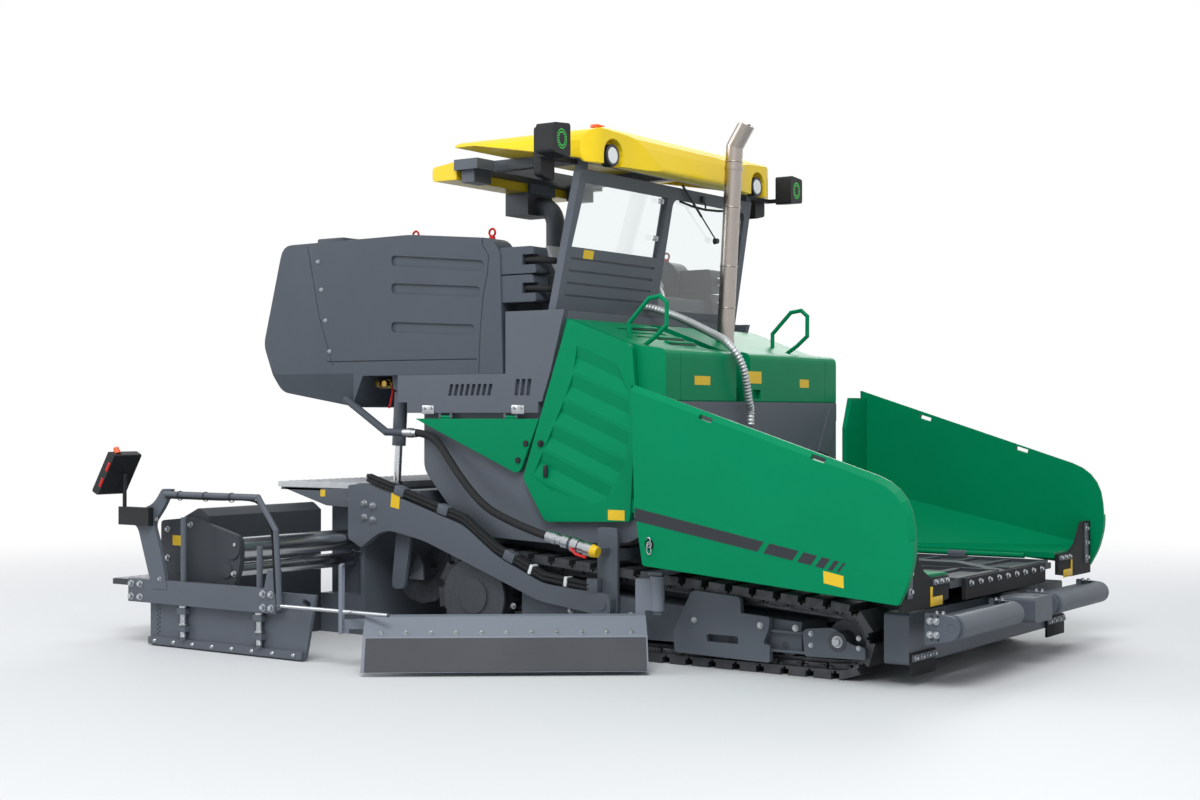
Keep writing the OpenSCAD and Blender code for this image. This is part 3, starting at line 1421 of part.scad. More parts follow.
// Helical flight round Z as a ribbon of rings, from 0 to its length
module flight(len, turns) {
    steps = ceil(turns * flight_steps);
    r0 = auger_shaft_r - 6;
    function ring(i) = let (a = 360 * turns * i / steps, z = (len - flight_t) * i / steps) [
        [r0 * cos(a), r0 * sin(a), z], [auger_r * cos(a), auger_r * sin(a), z],
        [auger_r * cos(a), auger_r * sin(a), z + flight_t], [r0 * cos(a), r0 * sin(a), z + flight_t]
    ];
    polyhedron(
        points = [for (i = [0 : steps]) each ring(i)],
        faces = [
            [3, 2, 1, 0],
            for (i = [0 : steps - 1], k = [0 : 3])
            let (a = 4 * i + k, b = 4 * i + (k + 1) % 4)
            each [[a, b, b + 4], [a, b + 4, a + 4]],
            [4 * steps, 4 * steps + 1, 4 * steps + 2, 4 * steps + 3]
        ]
    );
}

// Shaft with a helical flight; the two sides turn opposite ways
module auger(side) {
    machine() hand(side) color(steel) translate([auger_x, auger_out, auger_z]) rotate([90, 0, 0]) {
        cylinder(r = auger_shaft_r, h = auger_out - auger_in);
        translate([0, 0, 20]) flight(auger_out - auger_in - 40, (auger_out - auger_in - 40) / auger_pitch);
    }
}

chassis_frame();
engine_block();
conveyors();
track("right");  // track_right
track("left");  // track_left
track_frame("right");  // track_frame_right
track_frame("left");  // track_frame_left
track_wheels();
hopper("right");  // hopper_right
hopper("left");  // hopper_left
hopper_flap("right");  // hopper_flap_right
hopper_flap("left");  // hopper_flap_left
hopper_apron();
push_bar();
push_roller("right");  // push_roller_right
push_roller("left");  // push_roller_left
bulkhead();
hood_right();
hood_left();
side_housing("right");  // side_housing_right
side_housing("left");  // side_housing_left
side_door("right");  // side_door_right
side_door("left");  // side_door_left
side_flap("right");  // side_flap_right
side_flap("left");  // side_flap_left
side_panels();
platform();
tank_housing();
seats();
operator_desk();
windscreen_frame();
windscreen_glass();
roof();
roof_frame();
roof_lamps();
exhaust();
tow_arm("right");  // tow_arm_right
tow_arm("left");  // tow_arm_left
screed_main();
screed_walkway();
extension("right");  // extension_right
extension("left");  // extension_left
end_gate("right");  // end_gate_right
end_gate("left");  // end_gate_left
screed_console("right");  // screed_console_right
screed_console("left");  // screed_console_left
lift_barrel("right");  // lift_barrel_right
lift_barrel("left");  // lift_barrel_left
lift_rod("right");  // lift_rod_right
lift_rod("left");  // lift_rod_left
side_brackets();
spray_bar("right");  // spray_bar_right
spray_bar("left");  // spray_bar_left
auger_frame();
auger("right");  // auger_right
auger("left");  // auger_left
hood_hose();
feed_hose("right");  // feed_hose_right
feed_hose("left");  // feed_hose_left
arm_hoses();
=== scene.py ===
# %% [markdown]
# # A tracked asphalt paver
#
# The machine is made of welded plate, moulded covers, rubber and bare steel. The solids of its
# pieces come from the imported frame, already in place and in metres. This lesson gives them their
# finishes and adds what is too small for the solids: bolts, labels, hoses, lenses and trim.

import math

import bmesh
import bpy
from mathutils import Matrix, Vector


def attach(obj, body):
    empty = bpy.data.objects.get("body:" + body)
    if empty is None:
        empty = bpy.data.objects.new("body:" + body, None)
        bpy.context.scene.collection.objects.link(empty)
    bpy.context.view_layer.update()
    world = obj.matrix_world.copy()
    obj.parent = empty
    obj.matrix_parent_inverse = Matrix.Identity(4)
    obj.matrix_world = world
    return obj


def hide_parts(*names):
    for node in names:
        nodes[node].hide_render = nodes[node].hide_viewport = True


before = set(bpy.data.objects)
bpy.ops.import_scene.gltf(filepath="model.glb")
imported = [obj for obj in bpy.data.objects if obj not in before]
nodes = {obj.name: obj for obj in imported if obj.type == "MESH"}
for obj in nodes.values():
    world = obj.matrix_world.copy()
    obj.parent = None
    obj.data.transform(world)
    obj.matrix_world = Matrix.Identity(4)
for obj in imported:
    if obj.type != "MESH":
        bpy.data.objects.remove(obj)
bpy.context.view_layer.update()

# %% [markdown]
# ## The camera
#
# The picture was taken from the right front, at eye height, with a slightly long lens.
# The place and the lens were worked out from the hopper's width and the machine's upright lines,
# so every piece falls where it does in the picture.

# %% The camera
CAMERA_PLACE = (7.014, -10.696, 1.600)
CAMERA_TURN = math.radians(34.71)
CAMERA_RISE = math.radians(0.491)
LENS_MM = 52.14
SENSOR_MM = 36

camera = bpy.data.objects.new("camera", bpy.data.cameras.new("camera"))
bpy.context.scene.collection.objects.link(camera)
camera.location = CAMERA_PLACE
camera.rotation_euler = (math.pi / 2 + CAMERA_RISE, 0, CAMERA_TURN)
camera.data.lens = LENS_MM
camera.data.sensor_width = SENSOR_MM
bpy.context.scene.camera = camera
bpy.context.scene.view_settings.view_transform = "Standard"
print("camera at", CAMERA_PLACE, "lens", LENS_MM, "mm")

# %% [markdown]
# ## Helpers for finishes
#
# Paint chips and colour cards are given as sRGB hex values, but shaders work in linear light, so
# one function converts them. Another adds a shader node with its settings and links, which keeps
# each finish below short enough to read as a recipe.

# %% Colour and node helpers
def linear(hex_value):
    """An sRGB hex colour as linear RGBA."""
    shares = [int(hex_value[i : i + 2], 16) / 255 for i in (1, 3, 5)]
    return (*[c / 12.92 if c <= 0.04045 else ((c + 0.055) / 1.055) ** 2.4 for c in shares], 1)


def add(tree, kind, inputs=(), **settings):
    """Adds a shader node; inputs maps a socket's name or place to a value or to another socket."""
    made = tree.nodes.new("ShaderNode" + kind)
    for key, value in settings.items():
        setattr(made, key, value)
    for key, value in dict(inputs).items():
        if isinstance(value, bpy.types.NodeSocket):
            tree.links.new(value, made.inputs[key])
        else:
            made.inputs[key].default_value = value
    return made


def new_finish(name):
    """An empty material with its tree, its shader and the object's own coordinates."""
    material = bpy.data.materials.new(name)
    material.use_nodes = True
    tree = material.node_tree
    shader = tree.nodes["Principled BSDF"]
    place = add(tree, "TexCoord").outputs["Object"]
    return material, tree, shader, place


# %% [markdown]
# ## Paint and plastic
#
# Most of the machine is powder-coated or enamelled steel and moulded plastic. What tells them
# from flat colour is small: a slight cloud in the tone, an uneven gloss, the pebbled skin of the
# coating and a soft line of light along every edge. A Bevel node rounds the edges for the light
# alone, so plain sheet edges catch it as folded steel does.

# %% Coated finishes
# The clouds in a coat's tone are about 0.6 m wide
CLOUD_MM = 588.2


def lay(tree, shader, tone_by, grain_by, colours, roughness, spread, grain, edge_mm):
    """Wires a two-tone colour, an uneven gloss and a grained skin with soft edges into a shader."""
    colour, shade = colours
    strength, depth_mm = grain
    tone = add(tree, "Mix", {0: tone_by, 6: linear(shade), 7: linear(colour)}, data_type="RGBA")
    gloss = add(tree, "MapRange", {0: tone_by, 3: roughness * (1 + spread), 4: roughness * (1 - spread)})
    edge = add(tree, "Bevel", {"Radius": edge_mm / 1000}, samples=4)
    pits = {"Height": grain_by, "Strength": strength, "Distance": depth_mm / 1000, "Normal": edge.outputs[0]}
    skin = add(tree, "Bump", pits)
    tree.links.new(tone.outputs[2], shader.inputs["Base Color"])
    tree.links.new(gloss.outputs[0], shader.inputs["Roughness"])
    tree.links.new(skin.outputs[0], shader.inputs["Normal"])


def coated(name, colour, shade, roughness, grain_mm, grain_depth, edge_mm=4, shine=0.25):
    """A coating with a clouded tone, uneven gloss, pebbled skin and soft edges."""
    material, tree, shader, place = new_finish(name)
    cloud = add(tree, "TexNoise", {"Vector": place, "Scale": 1000 / CLOUD_MM, "Detail": 4, "Roughness": 0.6})
    grain = add(tree, "TexNoise", {"Vector": place, "Scale": 1000 / grain_mm, "Detail": 2})
    skin = (0.25, grain_depth)
    lay(tree, shader, cloud.outputs["Fac"], grain.outputs["Fac"], (colour, shade), roughness, 0.15, skin, edge_mm)
    shader.inputs["Specular IOR Level"].default_value = shine
    return material


# Two-pack enamel, sprayed: satin gloss with orange peel drawn at 9 mm so that it shows
green_enamel = coated("green_enamel", "#00875A", "#007D52", 0.36, 9, 0.25, shine=0.08)
yellow_enamel = coated("yellow_gelcoat", "#F6D62B", "#EFCB1F", 0.32, 12, 0.2, edge_mm=8, shine=0.25)
# Powder coat, baked: satin with a fine pebble drawn at 5 mm
graphite_powder = coated("graphite_powder_coat", "#5C626B", "#545A63", 0.46, 5, 0.3)
silver_powder = coated("silver_powder_coat", "#7E8590", "#767D88", 0.44, 5, 0.3)
dark_powder = coated("dark_powder_coat", "#41454B", "#3A3E44", 0.5, 5, 0.3)
# Moulded cover plastic, textured in the mould
graphite_moulding = coated("graphite_moulding", "#4A515A", "#444B54", 0.52, 4, 0.35, edge_mm=8)
# The same black is also used as painted shade in the hood's louvre slots
dark_plastic_and_louvre_shade = coated("abs_black_and_louvre_shade", "#222427", "#1B1D20", 0.5, 4, 0.3, edge_mm=3)
# Vulcanised sheet rubber, matt, with a cloth-pressed skin
# The same black rubber also paints the shade and soot in the exhaust's mouth
rubber_black_and_pipe_shade = coated("rubber_sheet_and_pipe_shade", "#232426", "#1B1C1E", 0.72, 7, 0.5, edge_mm=2)
skirt_rubber = coated("skirt_rubber", "#47494E", "#404247", 0.6, 7, 0.4, edge_mm=2)
# Seat vinyl, embossed with a 3 mm leather grain over soft padding
cushion_vinyl = coated("seat_vinyl", "#2A2C2F", "#212326", 0.6, 3, 0.4, edge_mm=14)
# Small enamelled levers, moulded lenses and caps, smooth and a little glossy
red_enamel = coated("red_enamel", "#C8201E", "#B51A19", 0.35, 6, 0.2, edge_mm=2)
orange_lens = coated("orange_polycarbonate", "#F0641E", "#E05512", 0.2, 8, 0.1, edge_mm=2, shine=0.5)
# Printed film, flat and even, with sharp edges
label_yellow = coated("blank_label_film", "#E9C332", "#E2BA28", 0.4, 8, 0.05, edge_mm=0.5)
# The dark film is printed decal on the hopper, and is also used as painted shade in the push bar's open slots and
# the end gates' holes
dark_film_and_hole_shade = coated("painted_hole_shade_and_dark_decal", "#33373D", "#2E3237", 0.42, 8, 0.05, edge_mm=0.5)
# Pale powder coat of treads and panels, and white moulded lenses
pale_powder = coated("pale_powder_coat", "#A7ABB1", "#9DA1A8", 0.42, 5, 0.25)
white_plastic = coated("white_polycarbonate", "#EDEFF0", "#E2E5E7", 0.3, 8, 0.1, edge_mm=2, shine=0.5)
print("coated finishes:", len(bpy.data.materials))

# %% [markdown]
# ## Bare metal
#
# The rollers, tubes, exhaust, walkway and tracks are metal with no paint. Drawn steel has fine
# streaks along it, chrome only a breath of haze, and a track is rough forged steel that the road
# has rubbed bright in patches.

# %% Metal finishes
def bare_metal(name, colour, shade, roughness, streak_mm, streak=(1, 1, 1), metallic=1.0, depth=0.05, edge_mm=3):
    """A metal with streaks or blotches; streak stretches the pattern along X, Y and Z."""
    material, tree, shader, place = new_finish(name)
    run = add(tree, "Mapping", {"Vector": place, "Scale": streak})
    lines = add(tree, "TexNoise", {"Vector": run.outputs[0], "Scale": 1000 / streak_mm, "Detail": 5}).outputs["Fac"]
    lay(tree, shader, lines, lines, (colour, shade), roughness, 0.4, (0.2, depth), edge_mm)
    shader.inputs["Metallic"].default_value = metallic
    return material


# Hard chrome, ground and plated: nearly a mirror, with a slow change of haze
hard_chrome = bare_metal("hard_chrome", "#D3D6D9", "#C8CBCE", 0.24, 260, depth=0.001, edge_mm=0)
# Stainless pipe, brushed along its length and browned by heat
brushed_stainless = bare_metal("brushed_stainless", "#B4ACA6", "#958E89", 0.3, 4, (1, 1, 0.03), depth=0.1)
# Hot-dip zinc: matt, with a spangle of about 30 mm
galvanised_steel = bare_metal("galvanised_steel", "#C4C8CB", "#AEB2B6", 0.45, 30, metallic=0.7)
# Forged steel, scaled dark and rubbed bright in patches
forged_steel = bare_metal("forged_track_steel", "#5A5C60", "#2D2F32", 0.5, 60, metallic=0.55, depth=0.8)
# Cast iron under thin paint, rough from the sand
cast_iron = bare_metal("painted_casting", "#4A4E54", "#3C4046", 0.55, 25, metallic=0.2, depth=0.6)
# Zinc-plated screws and turned brass: small, bright and slightly hazy
zinc_bolt = bare_metal("zinc_plated_bolt", "#BFC3C7", "#9A9EA3", 0.3, 10)
brass = bare_metal("turned_brass", "#B99A52", "#9C7F3D", 0.3, 10)
print("finishes with the metals:", len(bpy.data.materials))

# %% [markdown]
# ## Glass
#
# The windscreen is laminated safety glass: clear, with a faint cool tint. It is a thin closed
# pane, so a transmissive shader with the index of glass bends and reflects the light as it should.
# The signal lamps' small green lenses are moulded and glow a little.

# %% Glass and lamps
# Float glass, laminated: clear and mirror-smooth, with a ripple about a metre long
safety_glass, tree, shader, place = new_finish("laminated_glass")
shader.inputs["Base Color"].default_value = linear("#F1F7F7")
shader.inputs["Roughness"].default_value = 0.02
shader.inputs["IOR"].default_value = 1.45
shader.inputs["Transmission Weight"].default_value = 1.0
film = add(tree, "TexNoise", {"Vector": place, "Scale": 0.9, "Detail": 2})
ripple = add(tree, "Bump", {"Height": film.outputs["Fac"], "Strength": 0.02, "Distance": 0.002})
tree.links.new(ripple.outputs[0], shader.inputs["Normal"])

# Moulded lens over a lit diode
green_led, tree, shader, _ = new_finish("green_led_lens")
shader.inputs["Base Color"].default_value = linear("#1E8A2E")
shader.inputs["Emission Color"].default_value = linear("#37E04B")
shader.inputs["Emission Strength"].default_value = 0.6
shader.inputs["Roughness"].default_value = 0.25

# %% [markdown]
# ## Dressing the solids
#
# Each solid already has the right form, so it only needs its finish. One table says which finish
# goes on which piece, as a paint shop's list does.

# %% Finishes of the solids
PAINT_LIST = (
    (green_enamel, "hopper hood side_door side_flap"),
    (yellow_enamel, "roof"),
    (graphite_powder, "chassis_frame track_frame push_bar push_roller bulkhead side_housing side_panels platform"),
    (graphite_powder, "windscreen_frame roof_frame tow_arm screed_main end_gate lift_barrel side_brackets"),
    (graphite_powder, "auger_frame"),
    (silver_powder, "spray_bar"),
    (dark_powder, "conveyors extension"),
    (graphite_moulding, "tank_housing operator_desk"),
    (dark_plastic_and_louvre_shade, "roof_lamps screed_console"),
    (rubber_black_and_pipe_shade, "hopper_flap hopper_apron feed_hose arm_hoses"),
    (cushion_vinyl, "seats"),
    (safety_glass, "windscreen_glass"),
    (brushed_stainless, "exhaust"),
    (galvanised_steel, "screed_walkway hood_hose"),
    (hard_chrome, "lift_rod"),
    (forged_steel, "track"),
    (cast_iron, "engine_block track_wheels auger"),
)
FINISH_OF = {name: finish for finish, names in PAINT_LIST for name in names.split()}
for name, solid in nodes.items():
    solid.data.materials.clear()
    solid.data.materials.append(FINISH_OF[name.removesuffix("_right").removesuffix("_left")])
print("finished solids:", len(nodes))

# %% [markdown]
# ## Tools for making pieces
#
# Small parts repeat all over a machine, so a few helpers do the common work: one turns a finished
# bmesh into an object that rides on a body, others add a chamfered block, a hex bolt with its
# washer or a flat film to a mesh under construction. Places are given in millimetres from the
# hopper's rear edge, as on the machine's drawing, and turned into metres in one function.

# %% Placing pieces
HOPPER_REAR = 0.970
SIDES = {"right": -1, "left": 1}


def spot(x, y, z):
    """A point in the frame from millimetres behind or ahead of the hopper's rear edge."""
    return Vector((HOPPER_REAR + x / 1000, y / 1000, z / 1000))


def piece(name, shape, material, body="tractor", sharp=35):
    """Turns a bmesh into an object with a finish that rides on a body."""
    bmesh.ops.recalc_face_normals(shape, faces=shape.faces)
    mesh = bpy.data.meshes.new(name)
    shape.to_mesh(mesh)
    shape.free()
    mesh.materials.append(material)
    mesh.polygons.foreach_set("use_smooth", [True] * len(mesh.polygons))
    mesh.set_sharp_from_angle(angle=math.radians(sharp))
    made = bpy.data.objects.new(name, mesh)
    bpy.context.scene.collection.objects.link(made)
    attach(made, body)
    print(f"{name}: {len(mesh.polygons)} faces, rides on {body}")
    return made


def facing(place, normal):
    """The matrix that stands something built along Z at a place, along a normal."""
    return Matrix.Translation(place) @ Vector(normal).to_track_quat("Z", "Y").to_matrix().to_4x4()


def touch(node, origin, direction):
    """Where a ray from a point first meets a solid."""
    found, place, _, _ = nodes[node].ray_cast(Vector(origin), Vector(direction))
    assert found, f"nothing of {node} from {origin}"
    return place


# %% [markdown]
# ## Bosses, bolts, blocks, films and rings
#
# A bolt is three cones on one another: washer, hex head and the round crown of the head. A block is
# a cube with its edges bevelled, a label film a face that is extruded, and a ring a small circle
# that is spun round an axis. Every boss is sunk a little into what carries it, so no gap shows.

# %% Bosses, bolts, blocks, films and rings
FILM = 0.0008
SUNK = 0.0005
HEX_CORNER = 0.577


def edges_of(made):
    """The edges of what an operator has just made, always in the same order."""
    return list(dict.fromkeys(e for v in made["verts"] for e in v.link_edges))


def add_disc(shape, place, normal, radius, height, segments=24, top=0.92):
    """A short round boss with a chamfered top edge."""
    stand = facing(place, normal) @ Matrix.Translation((0, 0, height / 2 - SUNK))
    bmesh.ops.create_cone(
        shape, cap_ends=True, segments=segments, radius1=radius, radius2=radius * top, depth=height, matrix=stand
    )


def add_bolt(shape, place, normal, flats=0.024):
    """A hex bolt head on its washer; flats is the width across the flats."""
    add_disc(shape, place, normal, flats * 0.85, flats * 0.14)
    stand = facing(place, normal) @ Matrix.Translation((0, 0, flats * 0.4))
    corner = flats * HEX_CORNER
    bmesh.ops.create_cone(
        shape, cap_ends=True, segments=6, radius1=corner, radius2=corner, depth=flats * 0.55, matrix=stand
    )
    crown = Vector(place) + Vector(normal).normalized() * flats * 0.675
    add_disc(shape, crown, normal, flats * 0.48, flats * 0.07, 12)


def add_side_bolts(shape, places, face_y, way, flats):
    """Hex bolts on a side face; their places are x and z in millimetres."""
    for x, z in places:
        add_bolt(shape, spot(x, way * face_y, z), (0, way, 0), flats)


def add_block(shape, low, high, edge=0.003, turn=None):
    """A block between two corners with rounded edges, turned about its middle if asked."""
    low, high = Vector(low), Vector(high)
    middle, span = (low + high) / 2, high - low
    stand = Matrix.Translation(middle) @ (turn or Matrix()) @ Matrix.Diagonal((*span, 1))
    edges = edges_of(bmesh.ops.create_cube(shape, size=1, matrix=stand))
    bmesh.ops.bevel(shape, geom=edges, offset=edge, segments=2, profile=0.5, affect="EDGES", material=-1)


def add_film(shape, corners, thickness):
    """A flat film or plate: a face through the corners, thickened along a vector."""
    face = shape.faces.new([shape.verts.new(c) for c in corners])
    raised = bmesh.ops.extrude_face_region(shape, geom=[face])
    top = [g for g in raised["geom"] if isinstance(g, bmesh.types.BMVert)]
    bmesh.ops.translate(shape, vec=Vector(thickness), verts=top)


def add_label(shape, corners, face_y, way):
    """A thin film on a side face; its corners are x and z in millimetres."""
    add_film(shape, [spot(x, way * face_y, z) for x, z in corners], (0, way * FILM, 0))


def add_ring(shape, place, normal, radius, thickness, segments=28, sides=10):
    """A round-section ring, made by turning a circle round the normal."""
    stand = facing(place, normal)
    start = Matrix.Translation((radius, 0, 0)) @ Matrix.Rotation(math.pi / 2, 4, "X")
    made = bmesh.ops.create_circle(shape, segments=sides, radius=thickness, matrix=stand @ start)
    axis = stand.to_3x3() @ Vector((0, 0, 1))
    bmesh.ops.spin(
        shape, geom=[*made["verts"], *edges_of(made)], cent=Vector(place), axis=axis,
        angle=2 * math.pi, steps=segments, use_merge=True,
    )


# %% [markdown]
# ## Tubes along a path
#
# Hoses, cables, rails and levers are all round tubes on a curve. A smooth curve is drawn through a few
# points, a circle is set across it at every step, and each circle is bridged to the next. The circles
# are carried along without twisting, so the bridges stay straight.

# %% Curves and tubes
def along(points, steps):
    """A smooth curve through points, with a few steps between each pair."""
    path = []
    for i in range(len(points) - 1):
        a, b, c, d = (points[min(max(i + k, 0), len(points) - 1)] for k in (-1, 0, 1, 2))
        for s in range(steps):
            t = s / steps
            start = 2 * b + (c - a) * t
            path.append((start + (2 * a - 5 * b + 4 * c - d) * t**2 + (3 * b - a - 3 * c + d) * t**3) / 2)
    return [*path, points[-1]]


def add_tube(shape, path, radii, sides=12):
    """A closed tube along a path; radii is one radius or one for each point."""
    last = len(path) - 1
    if not isinstance(radii, list):
        radii = [radii] * len(path)
    side, loops = (path[1] - path[0]).orthogonal(), []
    for i, (point, radius) in enumerate(zip(path, radii)):
        ahead = (path[min(i + 1, last)] - path[max(i - 1, 0)]).normalized()
        side = (side - ahead * side.dot(ahead)).normalized()
        stand = Matrix.Translation(point) @ Matrix((side.cross(ahead), side, ahead)).transposed().to_4x4()
        circle = bmesh.ops.create_circle(
            shape, cap_ends=i in (0, last), segments=sides, radius=radius, matrix=stand
        )
        loops.append(edges_of(circle))
    for near, far in zip(loops, loops[1:]):
        bmesh.ops.bridge_loops(shape, edges=near + far)


# %% [markdown]
# ## The free hoses
#
# Three hoses hang free between fixed ends: the bright corrugated one over the hood and a black
# feed hose on each side, from the tank's outlet to the spray valve. Their routes are those of the
# solids. The corrugated one is a tube whose radius goes in and out along its length, as the
# spiral-wound steel does; the others have the smooth cover of hydraulic hose.

# %% Free hoses
HOOD_ROUTE = [
    (-884.6, -117, 2384.3), (-855.1, -117, 2378.7), (-806.0, -117, 2369.4), (-600, -105, 2300), (-250, -245, 2175),
    (-20, -390, 2085), (66, -349, 1930), (58, -253, 1703), (42, -200, 1630), (42, -200, 1570), (42, -200, 1530.3),
]
FEED_ROUTE = [
    (-2152.7, 1236, 1471), (-2120, 1236, 1470.2), (-2066, 1236, 1468.8), (-1951, 1244, 1440), (-1844, 1270, 1371),
    (-1649, 1330, 1201), (-1472, 1370, 1056), (-1313, 1395, 958), (-1114, 1420, 886), (-904, 1440, 827),
    (-778, 1466, 803.6), (-729.3, 1466, 792.6), (-700.3, 1466, 786.1),
]
HOOD_HOSE_R = 0.030
FEED_HOSE_R = 0.027
CORRUGATION = 0.024
RIPPLE = (0, 0.6, 1, 0.6)
GUIDE_STEPS = 30


def length_of(path):
    """The length of a path."""
    return sum((b - a).length for a, b in zip(path, path[1:]))


def even_path(path, step):
    """The same path with points an even step apart."""
    total, made, walked = length_of(path), [path[0]], 0.0
    count = max(2, round(total / step))
    targets = [total * i / count for i in range(1, count)]
    for a, b in zip(path, path[1:]):
        span = (b - a).length
        while targets and targets[0] <= walked + span:
            made.append(a.lerp(b, (targets.pop(0) - walked) / span))
        walked += span
    return [*made, path[-1]]


def free_hose(name, node, route, radius, material, ripple=0.0):
    """A free hose along the route of its solid, whose solid it hides."""
    smooth = along([spot(*p) for p in route], 8)
    path = even_path(smooth, CORRUGATION / len(RIPPLE) if ripple else 0.03)
    radii = [radius - ripple * RIPPLE[i % len(RIPPLE)] for i in range(len(path))] if ripple else radius
    shape = bmesh.new()
    add_tube(shape, path, radii, 16)
    made = piece(name, shape, material, sharp=80)
    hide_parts(node)
    guide = even_path(smooth, length_of(smooth) / GUIDE_STEPS)


free_hose("hood_hose_skin", "hood_hose", HOOD_ROUTE, HOOD_HOSE_R, galvanised_steel, ripple=0.007)
for side, way in SIDES.items():
    route = [(x, way * y, z) for x, y, z in FEED_ROUTE]
    free_hose(f"feed_hose_skin_{side}", f"feed_hose_{side}", route, FEED_HOSE_R, rubber_black_and_pipe_shade)

# %% [markdown]
# ## Hose fittings
#
# A hose ends in a crimped steel sleeve, and the feed hose meets a ball valve with a red lever and
# a yellow dust cap. Each is turned from a few bosses along the hose's own direction.

# %% Fittings and valves
OUTLET_Y = 1236
VALVE_Y = 1466


def add_sleeve(shape, start, end, radius):
    """A crimped sleeve: three bosses of changing radius between two points."""
    run = end - start
    for share, size in ((0.0, 1.12), (0.34, 1.22), (0.67, 1.06)):
        add_disc(shape, start + run * share, run, radius * size, run.length * 0.36, 20, 0.97)


for side, way in SIDES.items():
    shape = bmesh.new()
    valve = [spot(-700, way * VALVE_Y, 786), spot(-390, way * VALVE_Y, 716)]
    run = (valve[1] - valve[0]).normalized()
    add_sleeve(shape, valve[0] - run * 0.07, valve[0] + run * 0.05, 0.034)
    for share, size in ((0.2, 0.046), (0.45, 0.052), (0.62, 0.042), (0.78, 0.048)):
        add_disc(shape, valve[0].lerp(valve[1], share), run, size, 0.05, 24, 0.9)
    add_sleeve(shape, spot(-2215, way * OUTLET_Y, 1472.6), spot(-2100, way * OUTLET_Y, 1469.7), 0.029)
    piece(f"feed_valve_{side}", shape, zinc_bolt)
    shape = bmesh.new()
    grip = valve[0].lerp(valve[1], 0.5) + Vector((0, way * 0.05, -0.02))
    bends = ((0, 0, 0), (0.06, way * 0.03, -0.03), (0.14, way * 0.03, -0.05))
    add_tube(shape, [grip + Vector(b) for b in bends], 0.010, 8)
    piece(f"valve_lever_{side}", shape, red_enamel)
    shape = bmesh.new()
    add_disc(shape, valve[1] - run * 0.02, run, 0.044, 0.045, 24, 0.8)
    piece(f"valve_cap_{side}", shape, label_yellow)
    shape = bmesh.new()
    for x, y, z, reach in ((-2490, 1070, 1828, 0.07), (-2570, 1070, 1828, 0.06)):
        place = spot(x, way * y, z)
        add_disc(shape, place - Vector((0, way * 0.02, 0)), (0, way, 0), 0.034, 0.05, 20, 0.95)
        add_disc(shape, place + Vector((0, way * 0.03, 0)), (0, way, 0), 0.026, reach - 0.02, 6, 1.0)
    piece(f"tank_couplings_{side}", shape, brass)
    shape = bmesh.new()
    start = spot(-2455, way * 1090, 1800)
    bends = ((0, 0, 0), (0.01, way * 0.02, -0.05), (-0.02, way * 0.02, -0.15))
    add_tube(shape, [start + Vector(b) for b in bends], 0.008, 8)
    piece(f"tank_levers_{side}", shape, red_enamel)

# %% [markdown]
# ## The arms' hoses and their clips
#
# The hoses along the tow arms are held all the way, so their solids stay. Folded steel clips
# bridge them at even distances, and pale cable ties hold them near the front.

# %% Clips on the tow arms
ARM_HOSE_Y = 1318.5
ARM_HOSE_LINE = [(-2480, 1118), (-1590, 852), (-1305, 658), (-900, 487), (-520, 440)]
for side, way in SIDES.items():
    clips, ties = bmesh.new(), bmesh.new()
    mid = way * ARM_HOSE_Y
    for (x0, z0), (x1, z1), share, made in (
        (ARM_HOSE_LINE[0], ARM_HOSE_LINE[1], 0.35, clips),
        (ARM_HOSE_LINE[0], ARM_HOSE_LINE[1], 0.8, clips),
        (ARM_HOSE_LINE[2], ARM_HOSE_LINE[3], 0.3, clips),
        (ARM_HOSE_LINE[2], ARM_HOSE_LINE[3], 0.75, ties),
        (ARM_HOSE_LINE[3], ARM_HOSE_LINE[4], 0.5, ties),
    ):
        turn = Matrix.Rotation(math.atan2(z0 - z1, x1 - x0), 4, "Y")
        x, z = x0 + (x1 - x0) * share, z0 + (z1 - z0) * share
        width = 45 if made is clips else 12
        add_block(made, spot(x - width, mid - 36, z - 2), spot(x + width, mid + 36, z + 64), 0.004, turn)
    add_block(clips, spot(-540, mid - 30, 424), spot(-455, mid + 30, 524), 0.005)
    piece(f"hose_clips_{side}", clips, graphite_powder, "screed")
    piece(f"cable_ties_{side}", ties, white_plastic, "screed")

# %% [markdown]
# ## The hopper
#
# The wing's outer wall folds inwards below a slanting line, so a marking there has to lie on the
# leaning part. One function gives the wall's face at any point, and the dark band with its run of
# slanted bars is cut as thin films on it. The front flaps carry yellow guide plates and clamping
# strips with their bolts.

# %% Hopper markings
WING_FACE = 1632.5
FOLD_LEAN = math.tan(math.radians(4))


def wing_spot(x, z, way, lift=0.6):
    """A point on the outer face of a hopper wing."""
    fold = 1037 - 0.205 * (x + 5)
    return spot(x, way * (WING_FACE - max(0, fold - z) * FOLD_LEAN + lift), z)


def band_z(x, share):
    """The height of the dark band at x: share 0 is its lower edge, 1 its upper."""
    return 937 - (x - 30) * 0.176 + share * (81 - (x - 30) * 0.012)


